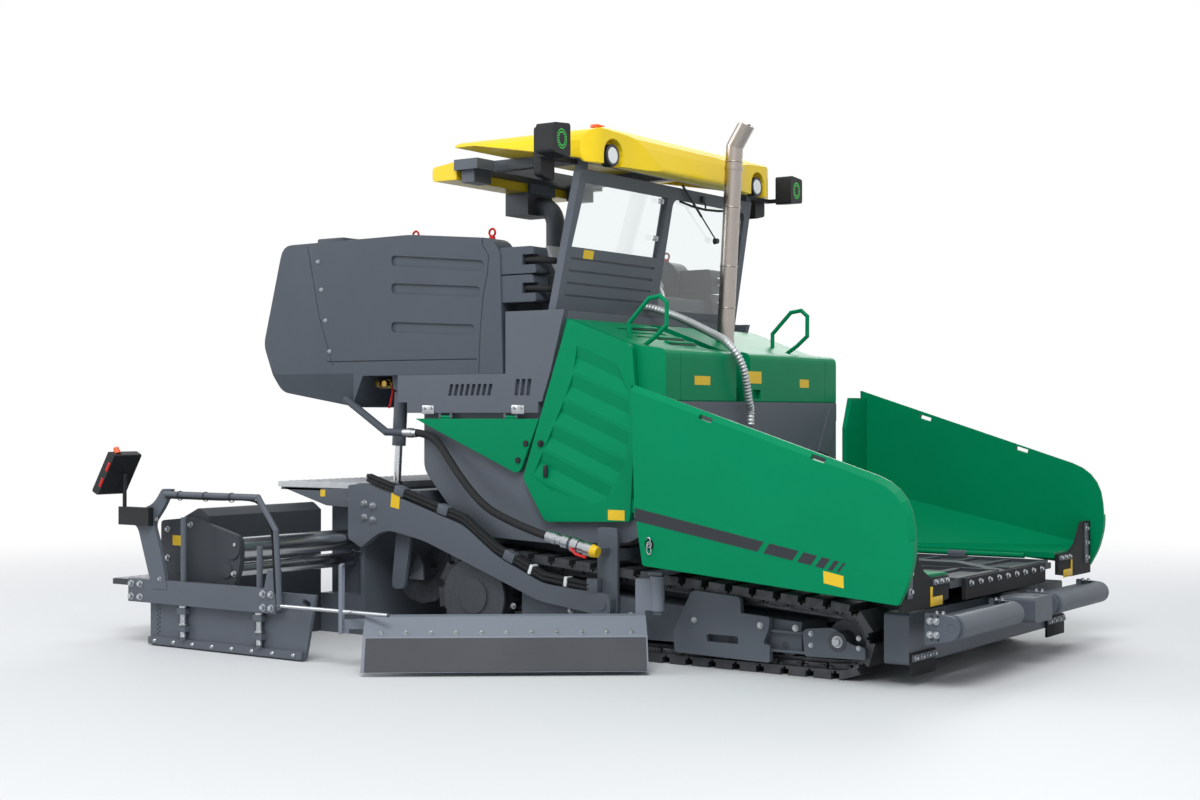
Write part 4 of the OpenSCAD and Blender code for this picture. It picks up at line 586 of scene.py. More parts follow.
BAND_RUNS = [(30, 905), (945, 1140), (1172, 1262), (1292, 1346), (1374, 1404), (1430, 1446)]
BAND_LEAN = 46
FLAP_FACE = 1822.5
for side, way in SIDES.items():
    body = f"hopper_{side}"
    shape = bmesh.new()
    for start, end in BAND_RUNS:
        cut = 0 if start == BAND_RUNS[0][0] else BAND_LEAN
        corners = [(start, 0), (end, 0), (end + BAND_LEAN, 1), (start + cut, 1)]
        add_film(shape, [wing_spot(x, band_z(x, s), way, 0.4) for x, s in corners], (0, way * FILM, 0))
    piece(f"hopper_band_{side}", shape, dark_film_and_hole_shade, body)
    shape = bmesh.new()
    corners = [(1345, 620), (1475, 596), (1475, 668), (1345, 692)]
    add_film(shape, [wing_spot(x, z, way, 0.4) for x, z in corners], (0, way * FILM, 0))
    add_block(shape, spot(FLAP_FACE, way * 1115 - 85, 474), spot(1829, way * 1115 + 85, 528), 0.002)
    add_block(shape, spot(FLAP_FACE, way * 1186 - 14, 528), spot(1829, way * 1186 + 14, 590), 0.002)
    piece(f"hopper_labels_{side}", shape, label_yellow, body)

# %% Hopper hardware
STRIP_FACE = 1832
CLIP_BENDS = (
    (-14, 34, 3), (0, 46, 9), (14, 34, 9), (12, 0, 9), (18, -46, 9), (2, -60, 9), (-12, -44, 9), (-10, -6, 9),
    (0, 6, 3),
)
for side, way in SIDES.items():
    body = f"hopper_{side}"
    strips, heads = bmesh.new(), bmesh.new()
    add_block(strips, spot(FLAP_FACE, way * 1490 - 34, 545), spot(STRIP_FACE, way * 1490 + 34, 828), 0.003)
    add_block(strips, spot(FLAP_FACE, way * 1056 - 112, 596), spot(STRIP_FACE, way * 1056 + 112, 630), 0.003)
    piece(f"flap_strips_{side}", strips, graphite_powder, body)
    for z in (585, 690, 790):
        add_bolt(heads, spot(STRIP_FACE, way * 1490, z), (1, 0, 0), 0.024)
    for y in (975, 1056, 1137):
        add_bolt(heads, spot(STRIP_FACE, way * y, 613), (1, 0, 0), 0.020)
    piece(f"flap_bolts_{side}", heads, zinc_bolt, body)
    shape = bmesh.new()
    loop = [wing_spot(128 + dx, 791 + dz, way, dy) for dx, dz, dy in CLIP_BENDS]
    add_tube(shape, along(loop, 4), 0.0045, 8)
    add_ring(shape, wing_spot(128, 791, way, 1), (0, 1, 0), 0.017, 0.004)
    piece(f"hopper_clip_{side}", shape, zinc_bolt, body)

shape = bmesh.new()
for i in range(9):
    add_bolt(shape, spot(1826, -600 + i * 150, 566), (1, 0, 0), 0.024)
piece("apron_bolts", shape, zinc_bolt)

# %% [markdown]
# ## The push bar and the front beam
#
# Every roller bracket is bolted on with four bright screws beside four open slots, whose shade is painted as thin
# dark discs, and rubber scrapers hang from the beam's ends in front of the tracks, clamped under a strip.

# %% Push bar bolts and scrapers
BRACKET_FACE = 1294
SCRAPER_MID = 1105
for side, way in SIDES.items():
    heads, bracket_slot_shade = bmesh.new(), bmesh.new()
    add_side_bolts(heads, ((1862, 322), (1862, 402), (1902, 322), (1902, 402)), BRACKET_FACE, way, 0.026)
    for x, z in ((1874, 294), (1874, 430), (1914, 294), (1914, 430)):
        # Thin dark discs: painted shade in the open slots
        add_disc(bracket_slot_shade, spot(x, way * BRACKET_FACE, z), (0, way, 0), 0.009, 0.0015, 16)
    for y in (345, 1250):
        for x in (1885, 1925):
            add_bolt(heads, spot(x, way * y, 443), (0, 0, 1), 0.020)
    piece(f"push_bar_bolts_{side}", heads, zinc_bolt, "push_bar")
    piece(f"push_bar_painted_slot_shade_{side}", bracket_slot_shade, dark_film_and_hole_shade, "push_bar")
    rubber, strip, heads = bmesh.new(), bmesh.new(), bmesh.new()
    add_block(rubber, spot(1726, way * SCRAPER_MID - 170, 62), spot(1742, way * SCRAPER_MID + 170, 200), 0.003)
    add_block(strip, spot(1742, way * SCRAPER_MID - 170, 150), spot(1750, way * SCRAPER_MID + 170, 190), 0.002)
    for k in range(4):
        add_bolt(heads, spot(1750, way * SCRAPER_MID - 130 + k * 87, 170), (1, 0, 0), 0.022)
    piece(f"scraper_{side}", rubber, rubber_black_and_pipe_shade)
    piece(f"scraper_strip_{side}", strip, graphite_powder)
    piece(f"scraper_bolts_{side}", heads, zinc_bolt)

# %% [markdown]
# ## The tracks
#
# Behind the shoes run the chain's links: a pair of forged plates to each pitch, joined by pins
# with domed ends. They follow the loop of the shoes, one pitch inside it, and each link is
# a waisted plate turned to the run of the chain.

# %% Chain links
TRACK_MID = 1097.5
IDLER = (1260, 235)
DRIVE = (-1540, 345)
LINK_INSET = 62
LINK_PITCH = 171
ARC_STEPS = 24


def loop_points(inset, pitch):
    """Points an even pitch apart on the belt line round the idler and the drive wheel."""
    (xi, zi), (xd, zd) = IDLER, DRIVE
    ri, rd = zi - inset, zd - inset
    reach, rise = math.hypot(xi - xd, zi - zd), math.atan2(zi - zd, xi - xd)
    swing = math.asin((rd - ri) / reach)
    up = math.pi / 2 - swing + rise
    down = -math.pi / 2
    front = [up + (down - up) * k / ARC_STEPS for k in range(ARC_STEPS + 1)]
    rear = [down - (2 * math.pi + down - up) * k / ARC_STEPS for k in range(ARC_STEPS + 1)]
    turns = [(xd, zd, rd, up), *((xi, zi, ri, a) for a in front), *((xd, zd, rd, a) for a in rear)]
    line = [Vector((x + r * math.cos(a), 0, z + r * math.sin(a))) for x, z, r, a in turns]
    return even_path([*line, line[0]], pitch)[:-1]


for side, way in SIDES.items():
    shape = bmesh.new()
    pins = loop_points(LINK_INSET, LINK_PITCH)
    for here, there in zip(pins, [*pins[1:], pins[0]]):
        run = there - here
        turn = Matrix.Rotation(-math.atan2(run.z, run.x), 4, "Y")
        middle = (here + there) / 2
        for y in (TRACK_MID - 92, TRACK_MID + 92):
            centre = spot(middle.x, way * y, middle.z)
            half = Vector((run.length / 2000 * 0.93, 0.013, 0.030))
            add_block(shape, centre - half, centre + half, 0.010, turn)
            for share in (-0.36, 0.36):
                place = centre + turn.to_3x3() @ Vector((run.length / 1000 * share, way * 0.0125, 0))
                add_disc(shape, place, (0, way, 0), 0.019, 0.010, 16, 0.7)
    piece(f"chain_links_{side}", shape, forged_steel)

# %% [markdown]
# ## The track frames
#
# The long covers are held by rows of screws, and the idler's yoke has its axle nut and four bolts.
# All of them are the same hex bolt in three sizes.

# %% Track frame bolts
COVER_FACE = 1302
YOKE_FACE = 1282
for side, way in SIDES.items():
    shape = bmesh.new()
    add_side_bolts(shape, [(x, 300) for x in (-1180, -700, -220, 260, 740, 985)], COVER_FACE, way, 0.026)
    add_side_bolts(shape, [IDLER], YOKE_FACE, way, 0.046)
    add_side_bolts(shape, ((1080, 200), (1080, 270), (1400, 205), (1400, 265)), YOKE_FACE, way, 0.020)
    piece(f"track_bolts_{side}", shape, zinc_bolt)

# %% [markdown]
# ## The hood, doors and side panels
#
# Blank yellow labels, black plugs in the panels' bolt holes, the round locks on the doors and the
# bright hinge clips of the sill are what is seen on the flanks. Films and bosses on one flat face
# are enough for them, each on the door or flap that it moves with.

# %% Panel hardware
FLANK = 1250
for side, way in SIDES.items():
    labels = bmesh.new()
    add_label(labels, ((-435, 908), (-303, 908), (-303, 975), (-435, 975)), FLANK + 0.4, way)
    piece(f"door_label_{side}", labels, label_yellow, f"side_door_{side}")
    plugs = bmesh.new()
    add_disc(plugs, spot(-986, way * FLANK, 1406), (0, way, 0), 0.024, 0.012)
    add_disc(plugs, spot(-986, way * 1262, 1406), (0, way, 0), 0.013, 0.006)
    add_block(plugs, spot(-960, way * 1257 - 7, 1180), spot(-925, way * 1257 + 7, 1260), 0.004)
    piece(f"door_lock_{side}", plugs, dark_plastic_and_louvre_shade, f"side_door_{side}")
    plugs = bmesh.new()
    for x, z in ((-1113, 1405), (-1180, 1290)):
        add_disc(plugs, spot(x, way * FLANK, z), (0, way, 0), 0.022, 0.010)
    piece(f"flap_plugs_{side}", plugs, dark_plastic_and_louvre_shade, f"side_flap_{side}")
    clips = bmesh.new()
    for x in (-1980, -1180):
        add_block(clips, spot(x - 55, way * 1253 - 3, 1606), spot(x + 55, way * 1253 + 3, 1668), 0.003)
        add_side_bolts(clips, ((x - 32, 1648), (x + 32, 1648)), FLANK + 6, way, 0.016)
    piece(f"sill_clips_{side}", clips, zinc_bolt)

# %% [markdown]
# ## The hood's labels and louvres
#
# Blank labels lie across the hood's front. The louvres are raised lips on the hood's sloping sheet, over dark blocks
# that are painted shade in the slots under them; a ray finds the sheet and one turn gives them its slope.

# %% Hood labels and louvres
hood_labels = bmesh.new()
for y0, y1, z0, z1 in ((-850, -650, 1800, 1860), (-150, 50, 1820, 1905), (620, 760, 1800, 1860)):
    corners = ((y0, z0), (y1, z0), (y1, z1), (y0, z1))
    add_film(hood_labels, [spot(-11.4, y, z) for y, z in corners], (FILM, 0, 0))
piece("hood_labels", hood_labels, label_yellow)

HOOD_SLOPE = Matrix.Rotation(math.radians(20.4), 4, "Y")
# The slots under the lips are dark blocks of painted shade
lips, louvre_slot_shade = bmesh.new(), bmesh.new()
for x in (-630, -530, -430, -330):
    place = touch("hood_right", spot(x, -515, 4000), (0, 0, -1))
    for made, low, high, edge in (
        (lips, (-0.026, -0.175, -0.004), (0.012, 0.175, 0.017), 0.007),
        (louvre_slot_shade, (0.010, -0.170, -0.010), (0.032, 0.170, -0.003), 0.002),
    ):
        add_block(made, place + Vector(low), place + Vector(high), edge, HOOD_SLOPE)
piece("hood_louvre_lips", lips, green_enamel, "tractor")
piece("hood_louvre_painted_shade", louvre_slot_shade, dark_plastic_and_louvre_shade)

# %% [markdown]
# ## The tank and the platform's hardware
#
# The tank's rear seam is held by four pale screws a side. Red lifting eyes and flat lids stand on
# its top, where a ray finds the cover, and black elbows leave the pods in front of it.

# %% Tank fittings
ELBOW_BENDS = ((-1140, 1205, 0), (-1085, 1205, 0), (-1030, 1195, -4), (-985, 1165, -8), (-955, 1120, -10))
for side, way in SIDES.items():
    shape = bmesh.new()
    add_side_bolts(shape, ((-3055, 2740), (-3020, 2530), (-2978, 2300), (-2936, 2070)), FLANK, way, 0.020)
    piece(f"tank_screws_{side}", shape, pale_powder)
    eyes, elbows = bmesh.new(), bmesh.new()
    for x, y in ((-1500, 1130), (-2400, 900)):
        top = touch("tank_housing", spot(x, way * y, 4000), (0, 0, -1))
        add_disc(eyes, top - Vector((0, 0, 0.003)), (0, 0, 1), 0.024, 0.02, 20, 0.9)
        add_ring(eyes, top + Vector((0, 0, 0.045)), (0, 1, 0), 0.026, 0.008, 24, 8)
    piece(f"lifting_eyes_{side}", eyes, red_enamel, "tractor")
    for z in (2468, 2662):
        run = [spot(x, way * y, z + dz) for x, y, dz in ELBOW_BENDS]
        add_tube(elbows, along(run, 4), 0.024, 12)
    piece(f"pod_elbows_{side}", elbows, rubber_black_and_pipe_shade)

lids = bmesh.new()
for x0, x1, rise in ((-3230, -2960, 0.052), (-2940, -2520, 0.026)):
    top = touch("tank_housing", spot((x0 + x1) / 2, -900, 4000), (0, 0, -1))
    low, high = spot(x0, -1080, 0), spot(x1, -720, 0)
    low.z, high.z = top.z - 0.02, top.z + rise
    add_block(lids, low, high, 0.012)
piece("tank_lids", lids, graphite_moulding)

# %% [markdown]
# ## The seats
#
# Each seat is upholstered: a crowned cushion with two sewn channels and a leaning back, on a stand
# with rubber bellows. A cube with a fine grid is swollen by a formula and smoothed by subdivision,
# which gives the crown and the pulled-in edges at once.

# %% Seat cushions
FLOOR_Z = 1884
SEAT_MID = 640
CROWN = 0.018
CHANNEL_PLACE, CHANNEL_WIDTH, CHANNEL_DEPTH = 0.45, 0.06, 0.25


def cushion(name, low, high, axis, turn=None):
    """A crowned cushion between two corners: its big face bulges and its edges pull in."""
    shape = bmesh.new()
    middle, half = (low + high) / 2, (high - low) / 2
    bmesh.ops.create_cube(shape, size=2)
    bmesh.ops.subdivide_edges(shape, edges=shape.edges, cuts=7, use_grid_fill=True)
    for vert in shape.verts:
        u, v = (vert.co[k] for k in range(3) if k != axis)
        swell = (1 - u**4) * (1 - v**4)
        channel = CHANNEL_DEPTH * math.exp(-(((abs(vert.co.y) - CHANNEL_PLACE) / CHANNEL_WIDTH) ** 2))
        vert.co = Vector([c * h for c, h in zip(vert.co, half)])
        if vert.co[axis] > 0:
            vert.co[axis] += CROWN * swell * (1 - channel)
    if turn:
        bmesh.ops.transform(shape, matrix=turn, verts=shape.verts)
    bmesh.ops.translate(shape, vec=middle, verts=shape.verts)
    made = piece(name, shape, cushion_vinyl, sharp=180)
    soft = made.modifiers.new("rounding", "SUBSURF")
    soft.levels = soft.render_levels = 2
    return made


for side, way in SIDES.items():
    lean = Matrix.Rotation(math.radians(-7), 4, "Y")
    y0, y1 = sorted((way * 405, way * 875))
    low, high = spot(-1905, y0, FLOOR_Z + 315), spot(-1488, y1, FLOOR_Z + 412)
    seat = cushion(f"seat_cushion_{side}", low, high, 2)
    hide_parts("seats")
    low, high = spot(-2005, y0 + 15, FLOOR_Z + 425), spot(-1925, y1 - 15, FLOOR_Z + 975)
    cushion(f"seat_back_{side}", low, high, 0, lean)

# %% Seat stands
for side, way in SIDES.items():
    shape = bmesh.new()
    mid = way * SEAT_MID
    for k in range(8):
        grow = 18 if k % 2 else 0
        z = FLOOR_Z + k * 36
        low, high = spot(-1890 + grow, mid - 112 + grow, z), spot(-1660 - grow, mid + 112 - grow, z + 36)
        add_block(shape, low, high, 0.006)
    add_block(shape, spot(-1995, mid - 200, FLOOR_Z + 288), spot(-1510, mid + 200, FLOOR_Z + 318), 0.008)
    for y in (410, 870):
        add_block(shape, spot(-1960, way * y - 12, FLOOR_Z + 560), spot(-1640, way * y + 12, FLOOR_Z + 600), 0.010)
    piece(f"seat_stand_{side}", shape, dark_plastic_and_louvre_shade)

# %% [markdown]
# ## The driving desk and the windscreen
#
# Behind the glass two pale control panels stand on bright tubes, with levers and a green grab rail.
# The screen leans, so its wiper, strut, clips and label are placed by a function that works in the
# screen's own plane: across, up and outwards.

# %% The desk
panels, stems, levers = bmesh.new(), bmesh.new(), bmesh.new()
for y in (-520, 420):
    slope = Matrix.Rotation(math.radians(-28), 4, "Y")
    add_block(panels, spot(-1290, y - 210, 2560), spot(-1250, y + 210, 2820), 0.014, slope)
    add_block(panels, spot(-1300, y - 180, 2500), spot(-1215, y + 180, 2530), 0.008)
    for dy in (-150, 150):
        add_tube(stems, [spot(-1150, y + dy, 2440), spot(-1180, y + dy, 2540), spot(-1255, y + dy, 2660)], 0.016, 12)
    for dy, size in ((-120, 0.022), (-40, 0.016), (60, 0.016), (130, 0.022)):
        add_tube(levers, [spot(-1240, y + dy, 2525), spot(-1245, y + dy, 2600)], 0.006, 8)
        add_disc(levers, spot(-1245, y + dy, 2590), (0, 0, 1), size, 0.03, 16, 0.7)
piece("desk_panels", panels, pale_powder)
piece("desk_stems", stems, hard_chrome)
piece("desk_levers", levers, dark_plastic_and_louvre_shade)
grab = bmesh.new()
rail = [spot(*p) for p in (
    (-1100, -700, 2480), (-1120, -700, 2640), (-1120, -640, 2690),
    (-1120, -420, 2690), (-1120, -360, 2640), (-1100, -360, 2480),
)]
add_tube(grab, along(rail, 5), 0.017, 12)
piece("desk_grab", grab, green_enamel)

# %% The screen's fittings
SCREEN_TILT = math.radians(10.7)


def screen_spot(y, up, out):
    """A point in the windscreen's plane: across, up from its foot, and out to the front."""
    x = -960 + out * math.cos(SCREEN_TILT) + up * math.sin(SCREEN_TILT)
    return spot(x, y, 2310 - out * math.sin(SCREEN_TILT) + up * math.cos(SCREEN_TILT))


tilt = Matrix.Rotation(SCREEN_TILT, 4, "Y")
hold, rubber, wiper = bmesh.new(), bmesh.new(), bmesh.new()
for y, up in ((-130, 590), (-130, 860)):
    add_block(hold, screen_spot(y - 26, up - 20, 58), screen_spot(y + 26, up + 20, 70), 0.003, tilt)
    add_bolt(hold, screen_spot(y, up, 68), (math.cos(SCREEN_TILT), 0, -math.sin(SCREEN_TILT)), 0.018)
piece("pane_clips", hold, zinc_bolt)
pivot, tip = screen_spot(420, 930, 66), screen_spot(470, 862, 74)
add_tube(wiper, [pivot, pivot.lerp(tip, 0.5) + Vector((0.012, 0, 0)), tip], 0.007, 8)
add_disc(wiper, pivot - Vector((0.012, 0, 0)), (1, 0, 0), 0.026, 0.03, 20, 0.8)
blade = ((110, 884), (280, 866), (470, 858), (660, 866), (800, 880))
add_tube(rubber, [screen_spot(y, up, 70) for y, up in blade], 0.009, 8)
strut = [screen_spot(90, 1000, 84), screen_spot(700, 640, 74)]
add_tube(wiper, [strut[0], strut[0].lerp(strut[1], 0.55)], 0.009, 10)
add_tube(wiper, [strut[0].lerp(strut[1], 0.5), strut[1]], 0.0055, 10)
add_disc(wiper, strut[1] - Vector((0.02, 0, 0)), (1, 0, 0), 0.024, 0.035, 16, 0.8)
piece("wiper_arms", wiper, dark_powder)
piece("wiper_blades", rubber, rubber_black_and_pipe_shade)
shape = bmesh.new()
corners = ((-980, 380), (-860, 380), (-860, 440), (-980, 440))
add_film(shape, [screen_spot(y, up, 60.4) for y, up in corners], (FILM, 0, 0))
piece("screen_label", shape, label_yellow)

# %% [markdown]
# ## The roof
#
# The lamps' lenses lie in dark recesses, the signal boxes carry two rings of green points, and an
# orange marker and a pale mast stand on top. All are bosses and rings on faces that look forwards,
# apart from the two on top, which a ray sets on the roof's curved skin.

# %% Roof fittings
rims, lenses, dots = bmesh.new(), bmesh.new(), bmesh.new()
for side, way in SIDES.items():
    place = spot(-580, way * 986, 3357)
    add_ring(rims, place, (1, 0, 0), 0.066, 0.009)
    add_ring(rims, place, (1, 0, 0), 0.030, 0.005)
    add_disc(lenses, place - Vector((0.004, 0, 0)), (1, 0, 0), 0.062, 0.012, 32, 0.86)
    for ring, count in ((44, 18), (62, 24)):
        for k in range(count):
            a = 2 * math.pi * k / count
            place = spot(-560, way * 1595 + 0.8 * ring * math.cos(a), 3390 + ring * math.sin(a))
            add_disc(dots, place, (1, 0, 0), 0.0045, 0.003, 8, 0.7)
piece("lamp_rims", rims, dark_powder)
piece("lamp_lenses", lenses, white_plastic)
piece("signal_dots", dots, green_led)
shape = bmesh.new()
top = touch("roof", spot(-728, -950, 4000), (0, 0, -1))
add_block(shape, top + Vector((-0.032, -0.045, -0.004)), top + Vector((0.032, 0.045, 0.02)), 0.006)
piece("roof_marker", shape, orange_lens)

mast = bmesh.new()
top = touch("roof", spot(-760, 900, 4000), (0, 0, -1))
for up, radius, height in ((-0.004, 0.028, 0.02), (0.012, 0.014, 0.06), (0.065, 0.026, 0.05), (0.112, 0.022, 0.02)):
    add_disc(mast, top + Vector((0, 0, up)), (0, 0, 1), radius, height, 24, 0.95)
piece("roof_mast", mast, white_plastic, "tractor")

# %% [markdown]
# ## The exhaust
#
# The pipe leans a little, and its mouth is bent further the same way. Rings and low sleeves along its own axis band
# it where its sections join, and a dark disc in the mouth paints the shade inside the pipe together with its soot.

# %% Exhaust bands
PIPE_LEAN = math.radians(3.3)
MOUTH_LEAN = PIPE_LEAN + math.radians(30)
axis = Vector((math.sin(PIPE_LEAN), 0, math.cos(PIPE_LEAN)))
foot = spot(-420, 230, 2060)
shape = bmesh.new()
for up in (0.02, 0.32, 0.62, 1.05, 1.38):
    add_ring(shape, foot + axis * up, axis, 0.063, 0.004, 32, 8)
for up in (0.06, 1.32):
    add_disc(shape, foot + axis * up, axis, 0.066, 0.03, 32, 1.0)
piece("exhaust_bands", shape, brushed_stainless)
bend = Vector((math.sin(MOUTH_LEAN), 0, math.cos(MOUTH_LEAN)))
# The dark disc is painted shade inside the pipe's mouth, with its soot
soot_and_mouth_shade = bmesh.new()
add_disc(soot_and_mouth_shade, foot + axis * 1.49 + bend * 0.03, bend, 0.0565, 0.03, 32, 1.0)
piece("exhaust_mouth", soot_and_mouth_shade, rubber_black_and_pipe_shade, "tractor")

# %% [markdown]
# ## The screed
#
# The telescopic tubes are ground and hard-chromed, so each gets a bright sleeve that slides with
# its extension. The walkway's tread is a field of raised buttons, each a low cone with few faces,
# because there are hundreds of them.

# %% Chrome sleeves and the walkway
TUBES = {"right": ((-2738, 690, 74), (-2790, 540, 52)), "left": ((-2898, 690, 74), (-2910, 540, 52))}
for side, way in SIDES.items():
    shape = bmesh.new()
    for x, z, r in TUBES[side]:
        path = [spot(x, way * y, z) for y in (1006, 1300, 1700, 2040, 2364)]
        add_tube(shape, path, r / 1000 + 0.0004, 72)
    piece(f"chrome_tubes_{side}", shape, hard_chrome, f"extension_{side}")

tread = bmesh.new()
for i in range(11):
    for k in range(34):
        shift = 0 if i % 2 else 36
        place = spot(-3395 + i * 71, -1225 + k * 72 + shift, 1100)
        if abs(place.y) < 1.24:
            add_disc(tread, place, (0, 0, 1), 0.017, 0.004, 10, 0.7)
piece("walkway_tread", tread, pale_powder, "screed")

# %% [markdown]
# ## The tow arms' rear ends
#
# Bolt groups hold the tow arms to the basic screed, a panel closes the walkway's end, and a bright
# ring lies round the thick guide tube where it leaves its guide. The arms' labels are blank.

# %% Tow arm hardware
ARM_FACE = 1347
for side, way in SIDES.items():
    heads, plates, panel, rings = (bmesh.new() for _ in range(4))
    add_side_bolts(heads, ((-2500, 960), (-2500, 860), (-2420, 945), (-2420, 845)), ARM_FACE, way, 0.032)
    add_side_bolts(heads, ((-2590, 985), (-2590, 760), (-2690, 985)), 1287, way, 0.026)
    piece(f"arm_bolts_{side}", heads, zinc_bolt, "screed")
    add_label(plates, ((-2250, 945), (-2170, 930), (-2160, 1030), (-2240, 1045)), ARM_FACE + 0.4, way)
    add_label(plates, ((-3005, 995), (-2955, 997), (-2955, 1047), (-3005, 1045)), 1275.4, way)
    piece(f"arm_label_{side}", plates, label_yellow, "screed")
    corners = ((-3400, 1056), (-2652, 1056), (-2690, 921), (-2946, 931))
    add_film(panel, [spot(x, way * 1267, z) for x, z in corners], (0, way * 0.008, 0))
    piece(f"screed_end_panel_{side}", panel, graphite_powder, "screed")
    x, z, r = TUBES[side][0]
    add_ring(rings, spot(x, way * 1157, z), (0, 1, 0), r / 1000 + 0.0245, 0.003, 48, 8)
    piece(f"tube_ring_{side}", rings, hard_chrome, "screed")

# %% [markdown]
# ## The extensions' nose plates and steps
#
# Round covers close the guide tubes' ends on the nose plates, with bolts and a blank label between
# them. The step behind each extension has a tread of its own, made as the walkway's is.

# %% Nose plates and steps
NOSE_FACE = 2406
NOSE_BOLTS = ((-3380, 380), (-3380, 600), (-3380, 800), (-3150, 840), (-2720, 520), (-2700, 720), (-2960, 350))
for side, way in SIDES.items():
    body = f"extension_{side}"
    nose, bright, dark, steps = (bmesh.new() for _ in range(4))
    add_side_bolts(bright, NOSE_BOLTS, NOSE_FACE, way, 0.026)
    for x, z, r in (*TUBES[side], (-3250, 560, 60)):
        add_disc(dark, spot(x, way * NOSE_FACE, z), (0, way, 0), r / 1000 * 1.05, 0.010, 32, 0.94)
    add_label(nose, ((-3330, 690), (-3190, 690), (-3190, 760), (-3330, 760)), NOSE_FACE + 0.4, way)
    piece(f"nose_label_{side}", nose, label_yellow, body)
    piece(f"nose_bolts_{side}", bright, zinc_bolt, body)
    piece(f"nose_covers_{side}", dark, dark_powder, body)
    low, high = sorted((way * 1275, way * 2350))
    corners = ((-4004, low), (-3600, low), (-3600, high), (-4004, high))
    add_film(steps, [spot(x, y, 420.3) for x, y in corners], (0, 0, 0.003))
    for i in range(5):
        for k in range(14):
            add_disc(steps, spot(-3970 + i * 80, low + 45 + k * 76, 423), (0, 0, 1), 0.016, 0.004, 10, 0.7)
    piece(f"step_tread_{side}", steps, pale_powder, body)

# %% [markdown]
# ## The extensions' rear walls
#
# The rear wall of each extension is a plate bolted on in two rows. The bolts are set on the wall by
# a ray, so they sit flat on it. The basic screed's own rear wall stays bare, because the extensions
# slide past it.

# %% Rear wall bolts
for side, way in SIDES.items():
    heads = bmesh.new()
    for y in (1340, 1600, 1860, 2120, 2320):
        for z in (110, 330):
            place = touch(f"extension_{side}", spot(-6000, way * y, z), (1, 0, 0))
            add_bolt(heads, place, (-1, 0, 0), 0.026)
    piece(f"extension_rear_bolts_{side}", heads, zinc_bolt, f"extension_{side}")

# %% [markdown]
# ## The end gates
#
# Each end gate hangs on two threaded spindles with nuts and sleeves, and its guide rod for the spray bar is bright.
# A spindle's thread is a tube whose radius goes in and out. The holes in the gate's height plate are painted shade:
# thin dark discs.

# %% End gates and spindles
SPINDLE_Y = 2546
for side, way in SIDES.items():
    bright, dark = bmesh.new(), bmesh.new()
    for x in (-3062, -2331):
        screw = [spot(x, way * SPINDLE_Y, z) for z in range(84, 122, 6)]
        add_tube(bright, screw, [0.0215 if k % 2 else 0.0235 for k in range(len(screw))], 16)
        for low, high, radius in ((162, 238, 0.0225), (282, 298, 0.030), (164, 178, 0.032)):
            add_tube(bright, [spot(x, way * SPINDLE_Y, z) for z in (low, high)], radius, 20)
    add_tube(bright, [spot(x, way * 2600, 360) for x in (-2075, -1600, -1160)], 0.0126, 16)
    add_side_bolts(bright, [(x, z) for x in (-3560, -3470, -2270, -2195) for z in (335, 425)], 2576, way, 0.030)
    for k in range(8):
        add_disc(bright, spot(-3360 + k * 190, way * 2542, 37), (0, way, 0), 0.016, 0.010, 16, 0.6)
    add_side_bolts(bright, ((-3262, 470), (-3300, 880), (-3480, 880), (-3560, 880)), 2580, way, 0.020)
    piece(f"gate_bright_{side}", bright, zinc_bolt, f"extension_{side}")
    # Painted shade in the height plate's holes: thin dark discs
    for k in range(7):
        for x, z in ((-3352, 84 + k * 32), (-3330, 100 + k * 32)):
            add_disc(dark, spot(x, way * 2520, z), (0, way, 0), 0.008, 0.0015, 12, 1.0)
    piece(f"gate_painted_hole_shade_{side}", dark, dark_film_and_hole_shade, f"extension_{side}")

# %% [markdown]
# ## The rail's cables
#
# Two thin cables are clipped along each gate's rail, on the way to the screed operator's console. They
# follow the rail at an even distance below and behind it.

# %% Cables on the rails
CABLE_LINE = ((-3190, 1033), (-2700, 1033), (-2326, 1029), (-2224, 906), (-2175, 820), (-2155, 600), (-2143, 440))
for side, way in SIDES.items():
    cables = bmesh.new()
    for y in (2592, 2577):
        add_tube(cables, along([spot(x, way * y, z) for x, z in CABLE_LINE], 5), 0.007, 8)
    for x in (-3050, -2800, -2550):
        add_ring(cables, spot(x, way * 2588, 1050), (1, 0, 0), 0.031, 0.003, 20, 6)
    piece(f"rail_cables_{side}", cables, rubber_black_and_pipe_shade, f"extension_{side}")

# %% [markdown]
# ## The screed operators' consoles
#
# Eight blank keys stand on each console's sloping plate, with two red grips at its side and an orange
# knob above. The keys are placed in the plate's own plane and turned with it.

# %% Console keys, grips and knobs
CONSOLE_SLOPE = Matrix.Rotation(math.radians(-58), 4, "Y")
for side, way in SIDES.items():
    body = f"extension_{side}"
    keys, grips, knob = (bmesh.new() for _ in range(3))
    face = spot(-3654, way * 2630, 1206)
    half = Vector((0.13, 0.085, 0.004))
    add_block(keys, face - half, face + half, 0.003, CONSOLE_SLOPE)
    upright = CONSOLE_SLOPE.to_3x3() @ Vector((0, 0, 1))
    for dy in (-0.070, -0.025, 0.025, 0.070):
        for du in (-0.09, 0.02):
            place = face + CONSOLE_SLOPE.to_3x3() @ Vector((du, dy, 0.004))
            add_disc(keys, place, upright, 0.014, 0.014, 14, 0.8)
    piece(f"console_keys_{side}", keys, dark_powder, body)
    for x, z in ((-3668, 1130), (-3598, 1240)):
        place = spot(x, way * 2752, z)
        low, high = place - Vector((0.035, 0.004, 0.012)), place + Vector((0.035, 0.006, 0.012))
        add_block(grips, low, high, 0.004, CONSOLE_SLOPE)
    piece(f"console_grips_{side}", grips, red_enamel, body)
    add_disc(knob, spot(-3570, way * 2690, 1332), (-0.45, 0, 0.9), 0.026, 0.045, 20, 0.75)
    piece(f"console_knob_{side}", knob, orange_lens, body)

